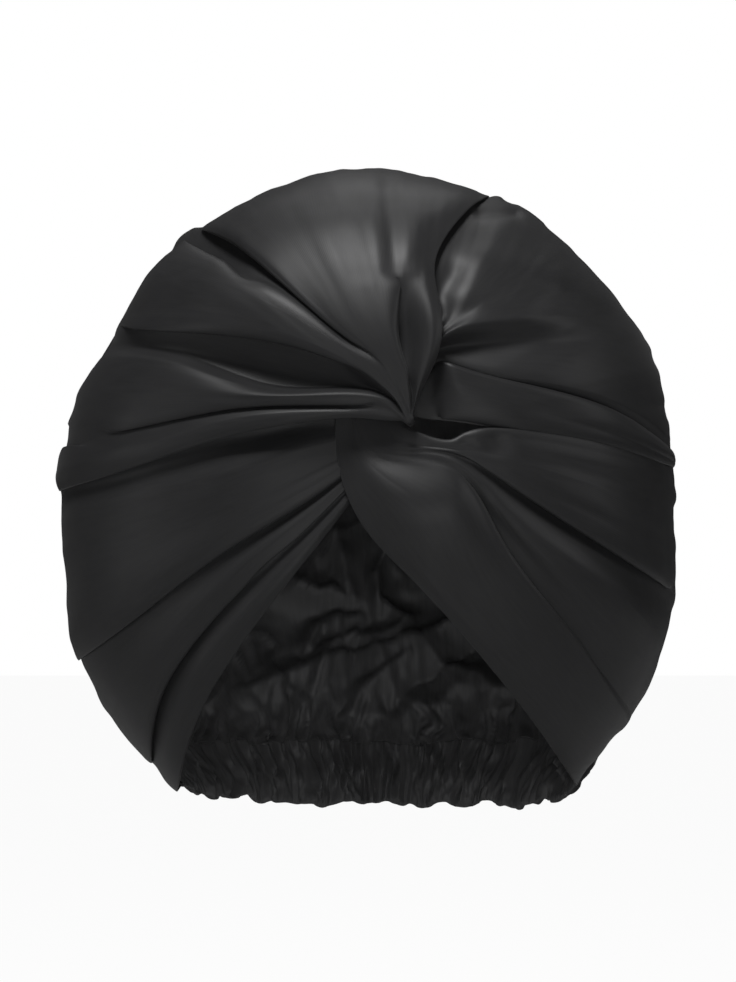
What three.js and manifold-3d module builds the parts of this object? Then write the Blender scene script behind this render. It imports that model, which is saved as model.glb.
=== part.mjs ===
// Hair wrap: a double satin sleep bonnet with a twisted front, in the form it has when worn.
// Millimetres, +Z up. The front faces -Y and +X is to the right as seen from the front.
//
// Every sheet lies on one rounded body. The axis through the twist runs along Y, and a place on
// the body is an angle about that axis and a reach from 0 on the axis to 1 at the outline.
// A lift moves a place outwards along its ray from the body's core, so folds never cross.

import * as THREE from "three";
import Module from "manifold-3d";

const { lerp, smoothstep } = THREE.MathUtils;

const wasm = await Module();
wasm.setup();

// ---------------------------------------------------------------- driving sizes

const CORE = new THREE.Vector3(18, 10, 166);
const FRONT_DEPTH = 110;
const BACK_DEPTH = 110;
const ROUNDNESS = 2.3;

// Outline radius about the twist, every 20 degrees from +X towards +Z.
const OUTLINE_STEP = 20;
const OUTLINE = [
  113.5, 109, 103.5, 104, 106.5, 113, 117.5, 125, 133.5,
  148, 160.5, 178, 189, 188, 184, 166.5, 145, 123.5,
];

const WALL = 1.3;
const SEAM_BEHIND = 8;
const SEAM_GAP = 0.4;
const HEM_GAP = 0.9;

const SLIVER = 0.02;

const CASING_TOP = 24;
const CASING_WALL = 2.4;
const CASING_WAVES = 20;
const CASING_WAVE_LIFT = 1.6;
const HEM_BOTTOM = -1.4;
const HEM_LOW_SIDE = 0.2;
const HEM_END_RISE = 5;

const LINING_INSET = 1.7;
const LINING_WALL = 1;

// ---------------------------------------------------------------- fold tables
// Each row is one fold line of a fan: its path of places across and up from the twist, the angle
// where it then meets the outline (its rim), and its lift at each station. Folds are round across
// unless they are sharp, and the first and last rows are the fan's edges.

const LEFT_UPPER = {
  stations: ["knot", "near", "mid", "far", "rim"],
  folds: [
    { fold: "right edge", rim: 71, lift: [6, 5, 4, 3.5, 0.5],
      path: [[1, 2], [13.5, 35], [10, 63], [21, 86]] },
    { fold: "edge roll", rim: 75.5, lift: [6.5, 6.5, 5.5, 5, 0],
      path: [[0.5, 4], [9, 35], [5, 66], [13, 89]] },
    { fold: "dimple", rim: 92, lift: [5.5, 2.5, 4, 4, 0],
      path: [[-0.5, 6], [-2, 33], [-4, 63], [-6, 90]] },
    { fold: "crown swell", rim: 108, lift: [6.5, 8, 8, 6, 0.5],
      path: [[-2, 7.8], [-16, 35], [-26, 61], [-32, 88]] },
    { fold: "first lip", rim: 135, lift: [6.5, 7.5, 7.5, 6.5, 0],
      path: [[-4, 8.6], [-27, 37], [-49.5, 58], [-72, 78.5]] },
    { fold: "first crease", sharp: true, rim: 137.5, lift: [6, 4.5, 2.5, 0.5, 3],
      path: [[-4.6, 8.2], [-28.5, 35.5], [-51.5, 56], [-74, 75]] },
    { fold: "pocket floor", sharp: true, rim: 140.5, lift: [6, 4.5, 2.5, -0.5, 4.5],
      path: [[-5, 7.7], [-29, 34], [-52.5, 54], [-81, 71]] },
    { fold: "second swell", rim: 149, lift: [6.5, 6.5, 7.5, 6.5, 1],
      path: [[-5.4, 6.9], [-30, 32], [-56.5, 47], [-91.5, 61]] },
    { fold: "second ridge", rim: 160, lift: [7, 7, 6, 4.5, 0],
      path: [[-5.5, 6], [-31, 29], [-63, 41], [-98, 47]] },
    { fold: "second valley", sharp: true, rim: 164.5, lift: [5.5, 2.5, -0.5, 0.5, -0.5],
      path: [[-5.3, 5.1], [-32.5, 23], [-67.5, 28], [-100, 33]] },
    { fold: "strip top", rim: 169, lift: [6, 5.5, 3, 2.5, 0],
      path: [[-4.9, 4.3], [-33, 16], [-69, 18.5], [-104, 25]] },
    { fold: "strip crest", rim: 176, lift: [6.5, 7.5, 5.5, 3.5, 1],
      path: [[-4.4, 3.5], [-33, 10.5], [-69, 12], [-107, 11]] },
    { fold: "third crease", sharp: true, rim: 183.5, lift: [6, 4, 1.5, 1, 0],
      path: [[-3.7, 2.8], [-33, 7], [-70, 6], [-109, -1]] },
    { fold: "border crest", rim: 186, lift: [6.5, 6, 4.5, 3.5, 2.5],
      path: [[-2.8, 2], [-33, 4.6], [-72, 1.8], [-111, -9]] },
    { fold: "lower edge", rim: 190.5, lift: [6, 5, 3.5, 2.5, 0.8],
      path: [[-1.6, 1], [-33, 1.7], [-76, -5.3], [-113.5, -17]] },
  ],
};

const LEFT_LOWER = {
  stations: ["tuck", "near", "mid", "far", "rim"],
  folds: [
    { fold: "hidden top", rim: 187.5, lift: [-5, -3.5, 3, 3, 1.5],
      path: [[-16, 0.5], [-48, 6], [-85, -0.5], [-118, -11]] },
    { fold: "pocket", rim: 191.2, lift: [-5, -4.5, -1, 0, 0],
      path: [[-16, -1.5], [-48, -1], [-84, -8.5], [-118, -19]] },
    { fold: "upper swell", rim: 196, lift: [-5, -2, 1, 1, 0.5],
      path: [[-16, -4.5], [-48, -12], [-83, -23], [-120, -31]] },
    { fold: "middle", rim: 204, lift: [-5, -2, 1.5, 1.5, 0],
      path: [[-16, -8], [-48, -23], [-83, -40], [-120, -55]] },
    { fold: "lower ridge", rim: 213, lift: [-4.5, -0.5, 2.5, 3, 3],
      path: [[-16, -11], [-48, -31], [-83, -50.5], [-118, -76]] },
    { fold: "lower valley", sharp: true, rim: 215.5, lift: [-5, -4, -1.5, 0.5, 4.5],
      path: [[-16, -12.5], [-47, -35.5], [-80.5, -56], [-115, -82]] },
    { fold: "last swell", rim: 223, lift: [-5, -1.5, 1.5, 2.5, 1],
      path: [[-16, -14.5], [-45.5, -40.5], [-74, -64.5], [-107, -98]] },
    { fold: "last lip", rim: 231, lift: [-5, -1.5, 1.5, 2.5, 0],
      path: [[-16, -16], [-44.3, -43], [-73.5, -69], [-105, -108]] },
    { fold: "last crease", sharp: true, rim: 233, lift: [-5.5, -3.5, -1.5, -2, -1],
      path: [[-16, -17], [-43.5, -44.5], [-71.5, -70.5], [-103, -110]] },
    { fold: "edge swell", rim: 235.5, lift: [-5, -1.5, 1.5, 1.5, 0],
      path: [[-16, -18.5], [-41, -48], [-66, -75], [-96, -114]] },
    { fold: "face edge", rim: 237.5, lift: [-5.5, -3, -0.5, -0.5, 0],
      path: [[-16, -20.5], [-37.5, -49], [-58.5, -75.5], [-88, -119]] },
  ],
};

const RIGHT_UPPER = {
  stations: ["tuck", "near", "mid", "far", "rim"],
  folds: [
    { fold: "hidden edge", rim: 70, lift: [1.5, 0, 0, 0, 0],
      path: [[-31, 14.5], [3, 39], [4.5, 63], [16, 87]] },
    { fold: "side dent", rim: 68.5, lift: [1.5, 0, -3, -0.5, 2.5],
      path: [[-27, 12.5], [15, 37], [12.5, 62], [24, 84]] },
    { fold: "side swell", rim: 63.5, lift: [1.5, 1, 3, 3, 2.5],
      path: [[-23.5, 10.5], [17, 38], [25, 59], [40, 80]] },
    { fold: "upper middle", rim: 45, lift: [1.5, 1.5, 3, 3, 0],
      path: [[-21, 9.5], [18, 39], [36, 53], [58, 63]] },
    { fold: "shelf", rim: 27, lift: [1.5, 2, 3.5, 2, 0.5],
      path: [[-19, 8.8], [19, 38.5], [49, 46.5], [79, 46]] },
    { fold: "wedge", rim: 14, lift: [1.5, -3.5, 0, 2.5, 0.5],
      path: [[-17, 8], [18, 30], [49, 30], [83, 31]] },
    { fold: "upper lip", rim: -3, lift: [1.5, -2.5, 1, 1.5, 0],
      path: [[-15.5, 7.5], [17, 26.5], [49, 19.5], [84, 11]] },
    { fold: "upper crease", sharp: true, rim: -6, lift: [1.5, -3, -2, -3, -1.5],
      path: [[-14.5, 7.2], [17, 25], [49, 17], [84, 7.5]] },
    { fold: "pleat crest", rim: -7.2, lift: [1.5, 0.5, 2, 0, 0],
      path: [[-13, 6.8], [18, 21.5], [49, 13], [82, 3.5]] },
    { fold: "pleat body", rim: -8, lift: [1.2, -1, 2, 1, 1],
      path: [[-11.5, 6.3], [20, 11], [50, 5], [81, -2.5]] },
    { fold: "hole top", sharp: true, rim: -9.3, lift: [1, -4, -2.5, -2.5, 0],
      path: [[-9.5, 6], [23, -0.6], [53, -4.6], [80, -8.5]] },
  ],
};

const RIGHT_LOWER = {
  stations: ["tuck", "side", "turn", "fan", "far", "rim"],
  folds: [
    { fold: "hole rim", sharp: true, rim: -8.6, lift: [1, 0.5, -2.5, -2.5, -2.5, 0],
      path: [[-11.5, 8.5], [-0.5, -1.6], [16, -7], [31, -1.8], [78, -6.6]] },
    { fold: "rim roll", rim: -11, lift: [1.2, 3.5, 2.5, 1.5, 0.5, 0],
      path: [[-13, 9], [-2, -3.2], [16, -9], [36, -6], [77, -11.5]] },
    { fold: "first swell", rim: -22, lift: [1.3, 4, 2, 2.5, 1.5, -1],
      path: [[-15.5, 10], [-5.5, -6.5], [16.5, -10.8], [48, -17], [84, -29]] },
    { fold: "long lip", rim: -30, lift: [1.4, 4.5, 2, 2.5, 3, 0],
      path: [[-18, 11], [-8, -8.5], [16, -11.6], [45, -26.3], [80, -47]] },
    { fold: "long crease", sharp: true, rim: -32.5, lift: [1.4, 4.7, 1, -1, -2.5, 0.5],
      path: [[-19, 11.4], [-9, -9.5], [15.7, -12.2], [44, -28], [79, -50.5]] },
    { fold: "streak", rim: -41, lift: [1.5, 5, 3, 2.5, 3, 0],
      path: [[-20.5, 12], [-12, -11], [16.5, -14.5], [42, -38], [80, -66]] },
    { fold: "inner lip", rim: -50, lift: [1.5, 5.3, 4.5, 2.5, 1.5, 0],
      path: [[-22, 12.5], [-14, -12.3], [17.5, -16.8], [38.5, -47], [69, -84]] },
    { fold: "inner crease", sharp: true, rim: -52.5, lift: [1.5, 5.5, 5.5, -0.5, 0, 0],
      path: [[-23, 13], [-15, -13], [17, -18.5], [37, -49.5], [67, -87]] },
    { fold: "band crest", rim: -58, lift: [1.5, 6, 9.5, 5, 2.5, -0.5],
      path: [[-27, 14.5], [-19.5, -15], [7, -29], [25, -61], [60, -106]] },
    { fold: "band side", rim: -62.5, lift: [1.5, 4.5, 6, 3.5, 2, 0.5],
      path: [[-31, 16], [-25.5, -17.5], [-7, -41], [14, -72], [51, -113]] },
    { fold: "face edge", rim: -65, lift: [1.5, 1.5, 1, 0.5, 0, 2],
      path: [[-35, 17.5], [-31, -20], [-17.5, -46.5], [3.5, -68.5], [42.5, -114]] },
  ],
};

// The left panel's bunched neck, from its knot through the right panel's loop to its tuck. Each
// oval section has a place, a lift, the half-length and angle of its long side, and a half-width.
const NECK = [
  { name: "knot", across: -2.4, up: 4.6, lift: 6.9, long: 5.4, turn: 125, half: 3.7 },
  { name: "throat", across: -2, up: 3.8, lift: 3.8, long: 3.8, turn: 130, half: 2.8 },
  { name: "loop", across: -0.4, up: 2.5, lift: 0.2, long: 3, turn: 165, half: 1.6 },
  { name: "under", across: -1.2, up: 0.8, lift: -3.6, long: 3.6, turn: 150, half: 1.5 },
  { name: "behind", across: -5.8, up: -3.8, lift: -5.5, long: 6, turn: 125, half: 1.6 },
  { name: "spread", across: -11.5, up: -7.5, lift: -5.7, long: 9.5, turn: 108, half: 1.6 },
  { name: "tuck", across: -18.5, up: -10.5, lift: -5.7, long: 12.2, turn: 96, half: 1.6 },
];

// Crumples of the lining: ridges that stand into the hollow.
const CRUMPLES = [
  { name: "apex fold", from: [-36, -52], to: [-32, -76], height: 7, width: 6 },
  { name: "apex spur", from: [-12, -55], to: [-17, -74], height: 5, width: 4 },
  { name: "left brow", from: [-54, -78], to: [-24, -90], height: 8, width: 6 },
  { name: "left bar", from: [-50, -104], to: [-26, -97], height: 7, width: 5 },
  { name: "left loop", from: [-70, -117], to: [-36, -109], height: 8, width: 6 },
  { name: "right bar", from: [-17, -105], to: [24, -91], height: 8, width: 6 },
  { name: "right fold", from: [0, -124], to: [33, -104], height: 7, width: 7 },
  { name: "low loop", from: [-26, -128], to: [4, -137], height: 8, width: 6 },
  { name: "low spur", from: [10, -146], to: [14, -129], height: 6, width: 4 },
  { name: "right hang", from: [46, -115], to: [37, -139], height: 6, width: 5 },
  { name: "left hang", from: [-88, -128], to: [-74, -148], height: 6, width: 5 },
];

// ---------------------------------------------------------------- curves

const DEGREE = Math.PI / 180;

function catmullRom(a, b, c, d, t) {
  const slopeB = (c - a) / 2;
  const slopeC = (d - b) / 2;
  const rise = c - b;
  return b + t * (slopeB + t * (3 * rise - 2 * slopeB - slopeC + t * (slopeB + slopeC - 2 * rise)));
}

// A smooth curve through a list of values; place counts from 0 at the first of them.
function alongList(values, place) {
  const last = values.length - 1;
  const i = Math.min(Math.floor(place), last - 1);
  const t = place - i;
  const before = i > 0 ? values[i - 1] : 2 * values[0] - values[1];
  const after = i + 2 <= last ? values[i + 2] : 2 * values[last] - values[last - 1];
  return catmullRom(before, values[i], values[i + 1], after, t);
}

// ---------------------------------------------------------------- the rounded body

// The body's radius about the twist at an angle in degrees.
function outline(angle) {
  const count = OUTLINE.length;
  const place = (((angle / OUTLINE_STEP) % count) + count) % count;
  const i = Math.floor(place);
  const at = (k) => OUTLINE[(i + k + count) % count];
  return catmullRom(at(-1), at(0), at(1), at(2), place - i);
}

// The share of the body's full depth that is left at a reach.
function depthAt(reach) {
  return (1 - Math.min(reach, 1) ** ROUNDNESS) ** (1 / ROUNDNESS);
}

// The reach of a place that lies a given distance behind the outline.
function reachBehind(behind) {
  return (1 - (behind / BACK_DEPTH) ** ROUNDNESS) ** (1 / ROUNDNESS);
}

// A place across and up from the twist, in the plane through the body's core.
function flatPoint(place) {
  const radius = outline(place.angle) * place.reach;
  const turn = place.angle * DEGREE;
  return new THREE.Vector3(radius * Math.cos(turn), 0, radius * Math.sin(turn));
}

function bodyPoint(place, lift) {
  const point = flatPoint(place);
  point.y = (place.back ? BACK_DEPTH : -FRONT_DEPTH) * depthAt(place.reach);
  return point.setLength(point.length() + lift).add(CORE);
}

// The angle and reach of a place given across and up from the twist.
function placeOf(across, up) {
  const angle = Math.atan2(up, across) / DEGREE;
  return { angle, reach: Math.hypot(across, up) / outline(angle) };
}

// ---------------------------------------------------------------- closed sheets

function gridFaces(rings, columns, wraps) {
  const faces = [];
  const steps = wraps ? columns : columns - 1;
  for (let j = 0; j < rings - 1; j += 1) {
    for (let i = 0; i < steps; i += 1) {
      const next = (i + 1) % columns;
      const a = j * columns + i;
      const b = j * columns + next;
      const c = (j + 1) * columns + next;
      const d = (j + 1) * columns + i;
      faces.push([a, b, c], [a, c, d]);
    }
  }
  return faces;
}

// The edges that only one face uses, in that face's direction.
function freeEdges(faces) {
  const seen = new Map();
  for (const [a, b, c] of faces) {
    for (const [from, to] of [[a, b], [b, c], [c, a]]) {
      const twin = `${to},${from}`;
      if (seen.has(twin)) {
        seen.delete(twin);
      } else {
        seen.set(`${from},${to}`, [from, to]);
      }
    }
  }
  return [...seen.values()];
}

function signedVolume(points, faces) {
  const cross = new THREE.Vector3();
  let total = 0;
  for (const [a, b, c] of faces) {
    total += points[a].dot(cross.crossVectors(points[b], points[c]));
  }
  return total / 6;
}

function solidFrom(points, faces) {
  const turned = signedVolume(points, faces) < 0;
  const indices = faces.flatMap(([a, b, c]) => (turned ? [a, c, b] : [a, b, c]));
  const mesh = new wasm.Mesh({
    numProp: 3,
    vertProperties: new Float32Array(points.flatMap((point) => point.toArray())),
    triVerts: new Uint32Array(indices),
  });
  return new wasm.Manifold(mesh);
}

// Closes an outer and an inner layer that share their faces into one wall.
function wallFrom(outer, inner, faces) {
  const shift = outer.length;
  const all = [...faces];
  for (const [a, b, c] of faces) {
    all.push([a + shift, c + shift, b + shift]);
  }
  for (const [from, to] of freeEdges(faces)) {
    all.push([to, from, from + shift], [to, from + shift, to + shift]);
  }
  return solidFrom([...outer, ...inner], all);
}

function sheetSolid(rings, wall, wraps = false) {
  const places = rings.flat();
  const outer = places.map((place) => bodyPoint(place, place.lift));
  const inner = places.map((place) => bodyPoint(place, place.lift - wall));
  return wallFrom(outer, inner, gridFaces(rings.length, rings[0].length, wraps));
}

function geometryOf(solid) {
  const { vertProperties, triVerts } = solid.getMesh();
  const geometry = new THREE.BufferGeometry();
  geometry.setAttribute("position", new THREE.BufferAttribute(vertProperties, 3));
  geometry.setIndex(new THREE.BufferAttribute(triVerts, 1));
  geometry.computeVertexNormals();
  return geometry;
}

// ---------------------------------------------------------------- folded fans

const STEPS_ACROSS = 2;
const STEPS_ALONG = 3;
const RINGS_BEHIND = [SEAM_BEHIND / 2, SEAM_BEHIND];

// One fold at a station, a count from its inner end; its last stretch slows down at the rim,
// where the body turns away, so that rings stay evenly spaced over the surface.
function foldAt(fold, station) {
  const last = fold.path.length;
  const rim = flatPoint({ angle: fold.rim, reach: 1 });
  const points = [...fold.path, [rim.x, rim.z]];
  const i = Math.min(Math.floor(station), last - 1);
  const t = station - i;
  const eased = i === last - 1 ? 1 - (1 - t) ** 2 : t;
  const across = alongList(points.map((point) => point[0]), i + eased);
  const up = alongList(points.map((point) => point[1]), i + eased);
  const reach = station === last ? 1 : Math.min(placeOf(across, up).reach, 1);
  return { across, up, reach, lift: alongList(fold.lift, station) };
}

// How the lift changes between two folds: level where it meets a round one, steep at a sharp one.
function easeAcross(fromSharp, toSharp, t) {
  if (fromSharp && toSharp) {
    return t;
  }
  if (fromSharp) {
    return Math.sin((t * Math.PI) / 2);
  }
  if (toSharp) {
    return 1 - Math.cos((t * Math.PI) / 2);
  }
  return (1 - Math.cos(t * Math.PI)) / 2;
}

// A ring of places across all the folds of a fan at one station.
function ringAt(fan, station) {
  const ring = [];
  const along = fan.folds.map((fold) => foldAt(fold, station));
  for (let i = 0; i < along.length - 1; i += 1) {
    const steps = i === along.length - 2 ? STEPS_ACROSS : STEPS_ACROSS - 1;
    for (let k = 0; k <= steps; k += 1) {
      const t = k / STEPS_ACROSS;
      const across = lerp(along[i].across, along[i + 1].across, t);
      const up = lerp(along[i].up, along[i + 1].up, t);
      const ease = easeAcross(fan.folds[i].sharp, fan.folds[i + 1].sharp, t);
      ring.push({
        angle: placeOf(across, up).angle,
        reach: lerp(along[i].reach, along[i + 1].reach, t),
        lift: lerp(along[i].lift, along[i + 1].lift, ease),
      });
    }
  }
  return ring;
}

function fanSolid(fan) {
  const rings = [];
  const last = fan.stations.length - 1;
  for (let step = 0; step <= last * STEPS_ALONG; step += 1) {
    rings.push(ringAt(fan, step / STEPS_ALONG));
  }
  const rim = rings[rings.length - 1];
  for (const behind of RINGS_BEHIND) {
    const fade = 1 - behind / SEAM_BEHIND;
    rings.push(rim.map((place) => ({
      angle: place.angle,
      reach: reachBehind(behind),
      back: true,
      lift: place.lift * fade,
    })));
  }
  return sheetSolid(rings, WALL);
}

// ---------------------------------------------------------------- neck of the twist

const NECK_SIDES = 12;

function neckCentre(section) {
  return bodyPoint(placeOf(section.across, section.up), section.lift);
}

function neckRing(section, index) {
  const before = neckCentre(NECK[Math.max(index - 1, 0)]);
  const after = neckCentre(NECK[Math.min(index + 1, NECK.length - 1)]);
  const along = after.sub(before).normalize();
  const turn = section.turn * DEGREE;
  const long = new THREE.Vector3(Math.cos(turn), 0, Math.sin(turn)).projectOnPlane(along).normalize();
  const short = new THREE.Vector3().crossVectors(along, long);
  return Array.from({ length: NECK_SIDES }, (_, i) => {
    const around = (2 * Math.PI * i) / NECK_SIDES;
    return neckCentre(section)
      .addScaledVector(long, section.long * Math.cos(around))
      .addScaledVector(short, section.half * Math.sin(around));
  });
}

function neckSolid() {
  const points = NECK.flatMap(neckRing);
  const faces = gridFaces(NECK.length, NECK_SIDES, true);
  const end = (NECK.length - 1) * NECK_SIDES;
  for (let i = 1; i < NECK_SIDES - 1; i += 1) {
    faces.push([0, i + 1, i], [end, end + i, end + i + 1]);
  }
  return solidFrom(points, faces);
}

// ---------------------------------------------------------------- back of the wrap

const EDGE_REACH = reachBehind(SEAM_BEHIND + SEAM_GAP);
const ROUND_COLUMNS = 26;
const HEM_COLUMNS = 20;
const DOME_RINGS = 10;
const CROWN_PLEATS = 9;
const CROWN_PLEAT_LIFT = 2.2;

// The angle, left or right of the nape, where the seam stands at a given height.
function seamAngle(up, isLeft) {
  let outer = isLeft ? 200 : 340;
  let inner = 270;
  for (let halving = 0; halving < 40; halving += 1) {
    const middle = (outer + inner) / 2;
    const height = outline(middle) * EDGE_REACH * Math.sin(middle * DEGREE);
    if (height > up) {
      outer = middle;
    } else {
      inner = middle;
    }
  }
  return (outer + inner) / 2;
}

// A place across the hem at a given height, with its steps closer together at both ends.
function hemAcross(up, share) {
  const side = Math.sin((share - 0.5) * Math.PI);
  const end = (isLeft) => {
    const angle = seamAngle(up, isLeft);
    return outline(angle) * EDGE_REACH * Math.cos(angle * DEGREE);
  };
  return lerp(end(true), end(false), (side + 1) / 2);
}

function crownAngles(up) {
  const left = seamAngle(up, true);
  const right = seamAngle(up, false);
  const angles = [];
  for (let i = 0; i < ROUND_COLUMNS; i += 1) {
    angles.push(lerp(right - 360, left, i / ROUND_COLUMNS));
  }
  for (let i = 0; i < HEM_COLUMNS; i += 1) {
    const across = hemAcross(up, i / HEM_COLUMNS);
    angles.push(placeOf(across, up).angle + 360);
  }
  return angles;
}

function crownEdge(angle, up) {
  const sine = Math.sin(angle * DEGREE);
  const hemReach = sine < 0 ? up / (sine * outline(angle)) : 1;
  return Math.min(EDGE_REACH, hemReach);
}

// Soft pleats that rise from the nape hem; share is 1 at the dome's edge and 0 at its pole.
function pleatLift(angle, share) {
  const fromNape = Math.abs(((angle - 270 + 540) % 360) - 180);
  const fade = (1 - smoothstep(fromNape, 20, 60)) * smoothstep(share, 0.25, 0.75);
  const settle = 1 - smoothstep(share, 0.94, 1);
  return CROWN_PLEAT_LIFT * fade * settle * Math.cos((fromNape * CROWN_PLEATS * Math.PI) / 60);
}

// How far the highest crumple near a place stands into the hollow.
function crumpleDepth(place) {
  const point = flatPoint(place);
  const nearest = new THREE.Vector3();
  let depth = 0;
  for (const crumple of CRUMPLES) {
    const [from, to] = [crumple.from, crumple.to].map(([across, up]) => new THREE.Vector3(across, 0, up));
    new THREE.Line3(from, to).closestPointToPoint(point, true, nearest);
    const away = nearest.distanceTo(point) / crumple.width;
    depth = Math.max(depth, crumple.height * Math.exp(-away * away));
  }
  return depth;
}

// A dome over the back: rings from its edge to the pole behind the twist.
function domeSolid(wall, liftOf) {
  const up = CASING_TOP + HEM_GAP - CORE.z;
  const angles = crownAngles(up);
  const places = [];
  for (let j = 0; j < DOME_RINGS; j += 1) {
    const share = Math.sin(((1 - j / DOME_RINGS) * Math.PI) / 2);
    for (const angle of angles) {
      places.push({ angle, share, reach: crownEdge(angle, up) * share, back: true });
    }
  }
  places.push({ angle: 0, share: 0, reach: 0, back: true });
  const faces = gridFaces(DOME_RINGS, angles.length, true);
  const pole = places.length - 1;
  const lastRing = (DOME_RINGS - 1) * angles.length;
  for (let i = 0; i < angles.length; i += 1) {
    faces.push([lastRing + i, lastRing + ((i + 1) % angles.length), pole]);
  }
  const outer = places.map((place) => bodyPoint(place, liftOf(place)));
  const inner = places.map((place) => bodyPoint(place, liftOf(place) - wall));
  return wallFrom(outer, inner, faces);
}

function crownSolid() {
  return domeSolid(WALL, (place) => pleatLift(place.angle, place.share));
}

function liningSolid() {
  return domeSolid(LINING_WALL, (place) => {
    const settle = 1 - smoothstep(place.share, 0.94, 1);
    return pleatLift(place.angle, place.share) - LINING_INSET - settle * crumpleDepth(place);
  });
}

// ---------------------------------------------------------------- gathered casing

const CASING_STEPS_PER_WAVE = 4;
const CASING_ROWS = [0, 0.45, 1];

function casingSolid() {
  const columns = CASING_WAVES * CASING_STEPS_PER_WAVE;
  const rings = CASING_ROWS.map((share) => {
    const ring = [];
    for (let i = 0; i <= columns; i += 1) {
      const side = Math.sin((i / columns - 0.5) * Math.PI);
      const bottom = HEM_BOTTOM + HEM_END_RISE * (side - HEM_LOW_SIDE) ** 2;
      const endUp = lerp(CASING_TOP, HEM_BOTTOM + HEM_END_RISE, share) - CORE.z;
      const up = lerp(CASING_TOP, bottom, share) - CORE.z;
      const across = hemAcross(endUp, i / columns);
      const wave = Math.cos((2 * Math.PI * i) / CASING_STEPS_PER_WAVE);
      const place = placeOf(across, up);
      const lift = 0.4 + CASING_WAVE_LIFT * wave * Math.sin(Math.PI * Math.min(share * 2, 1) / 2);
      ring.push({ ...place, reach: Math.min(place.reach, EDGE_REACH), back: true, lift });
    }
    return ring;
  });
  return sheetSolid(rings, CASING_WALL);
}

// ---------------------------------------------------------------- assembly

const BLACK_SATIN = { color: 0x15151a, roughness: 0.42, metalness: 0 };
const BLACK_LINING = { color: 0x121216, roughness: 0.5, metalness: 0 };
const BLACK_CASING = { color: 0x131317, roughness: 0.55, metalness: 0 };

function piece(name, solid, finish) {
  const mesh = new THREE.Mesh(geometryOf(solid), new THREE.MeshStandardMaterial(finish));
  mesh.name = name;
  return mesh;
}

// Joins solids into one, without the slivers that are left where their walls cross.
function join(solids) {
  return solids.reduce((joined, solid) => joined.add(solid)).simplify(SLIVER);
}

const leftPanel = join([fanSolid(LEFT_UPPER), fanSolid(LEFT_LOWER), neckSolid()]);
const rightPanel = join([fanSolid(RIGHT_UPPER), fanSolid(RIGHT_LOWER)]);

const hairWrap = new THREE.Group();
hairWrap.add(piece("left_wrap_panel", leftPanel, BLACK_SATIN));
hairWrap.add(piece("right_wrap_panel", rightPanel, BLACK_SATIN));
hairWrap.add(piece("back_crown", crownSolid(), BLACK_SATIN));
hairWrap.add(piece("back_lining", liningSolid(), BLACK_LINING));
hairWrap.add(piece("nape_casing", casingSolid(), BLACK_CASING));

export default hairWrap;
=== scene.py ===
"""Looks of a double satin hair wrap with a twisted front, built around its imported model.

Every cloth lies on one rounded body. The axis through the twist runs along Y. A place on the
body is across and up from the twist, with a reach from 0 on the axis to 1 at the outline, and
a lift moves it outwards. Shapes are worked out in millimetres and built in metres.
"""

import math

import bmesh
import bpy
import numpy as np
from bpy.props import FloatProperty, FloatVectorProperty, IntProperty, PointerProperty
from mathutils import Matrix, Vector


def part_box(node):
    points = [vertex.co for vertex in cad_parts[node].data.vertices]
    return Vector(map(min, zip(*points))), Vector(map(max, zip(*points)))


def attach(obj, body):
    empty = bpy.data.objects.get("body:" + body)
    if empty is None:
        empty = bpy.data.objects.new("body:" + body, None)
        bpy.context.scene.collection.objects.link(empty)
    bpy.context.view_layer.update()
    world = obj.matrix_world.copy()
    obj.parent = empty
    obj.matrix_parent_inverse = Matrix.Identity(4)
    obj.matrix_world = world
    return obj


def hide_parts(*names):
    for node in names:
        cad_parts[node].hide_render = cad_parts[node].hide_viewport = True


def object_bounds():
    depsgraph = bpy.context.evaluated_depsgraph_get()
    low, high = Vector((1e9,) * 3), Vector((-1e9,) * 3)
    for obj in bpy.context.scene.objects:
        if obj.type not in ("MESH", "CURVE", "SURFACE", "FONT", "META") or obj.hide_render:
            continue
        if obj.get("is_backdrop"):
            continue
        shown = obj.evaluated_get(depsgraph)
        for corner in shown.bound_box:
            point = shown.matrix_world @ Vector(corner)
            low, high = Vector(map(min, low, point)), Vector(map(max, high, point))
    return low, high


bl_info = {
    "name": "Twisted Hair Wrap",
    "version": (1, 0, 0),
    "blender": (4, 5, 0),
    "location": "3D View > Sidebar > Hair Wrap",
    "description": "Builds a satin hair wrap with a twisted front around its packed model",
    "category": "Add Mesh",
}

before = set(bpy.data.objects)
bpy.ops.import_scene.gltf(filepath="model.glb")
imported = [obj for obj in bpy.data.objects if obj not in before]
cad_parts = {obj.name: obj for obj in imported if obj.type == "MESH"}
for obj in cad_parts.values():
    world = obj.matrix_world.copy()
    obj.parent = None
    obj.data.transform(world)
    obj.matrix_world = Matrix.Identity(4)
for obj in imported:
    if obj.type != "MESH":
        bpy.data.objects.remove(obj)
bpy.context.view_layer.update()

# --- body

MM = 0.001
# The power of the body's rounded section, and its depth before and behind the twist's plane.
ROUNDNESS = 2.3
DEPTH = 110.0

# Outline radius about the twist, every 20 degrees from +X towards +Z.
OUTLINE = np.array(
    [113.5, 109, 103.5, 104, 106.5, 113, 117.5, 125, 133.5]
    + [148, 160.5, 178, 189, 188, 184, 166.5, 145, 123.5]
)
# The rim seam behind the twist's plane, and the gap between its two cloths.
SEAM_BEHIND = 8.0
SEAM_GAP = 0.4
# The front's turn at the seam, as places behind the twist's plane and drops below the body.
SEAM_TURN = (
    ((1.6, 0), (3.2, 0), (4.8, 0), (6.2, 0))
    + ((7.2, 0.35), (7.8, 1.2), (8.15, 2.6), (13.0, 2.7))
)
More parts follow.
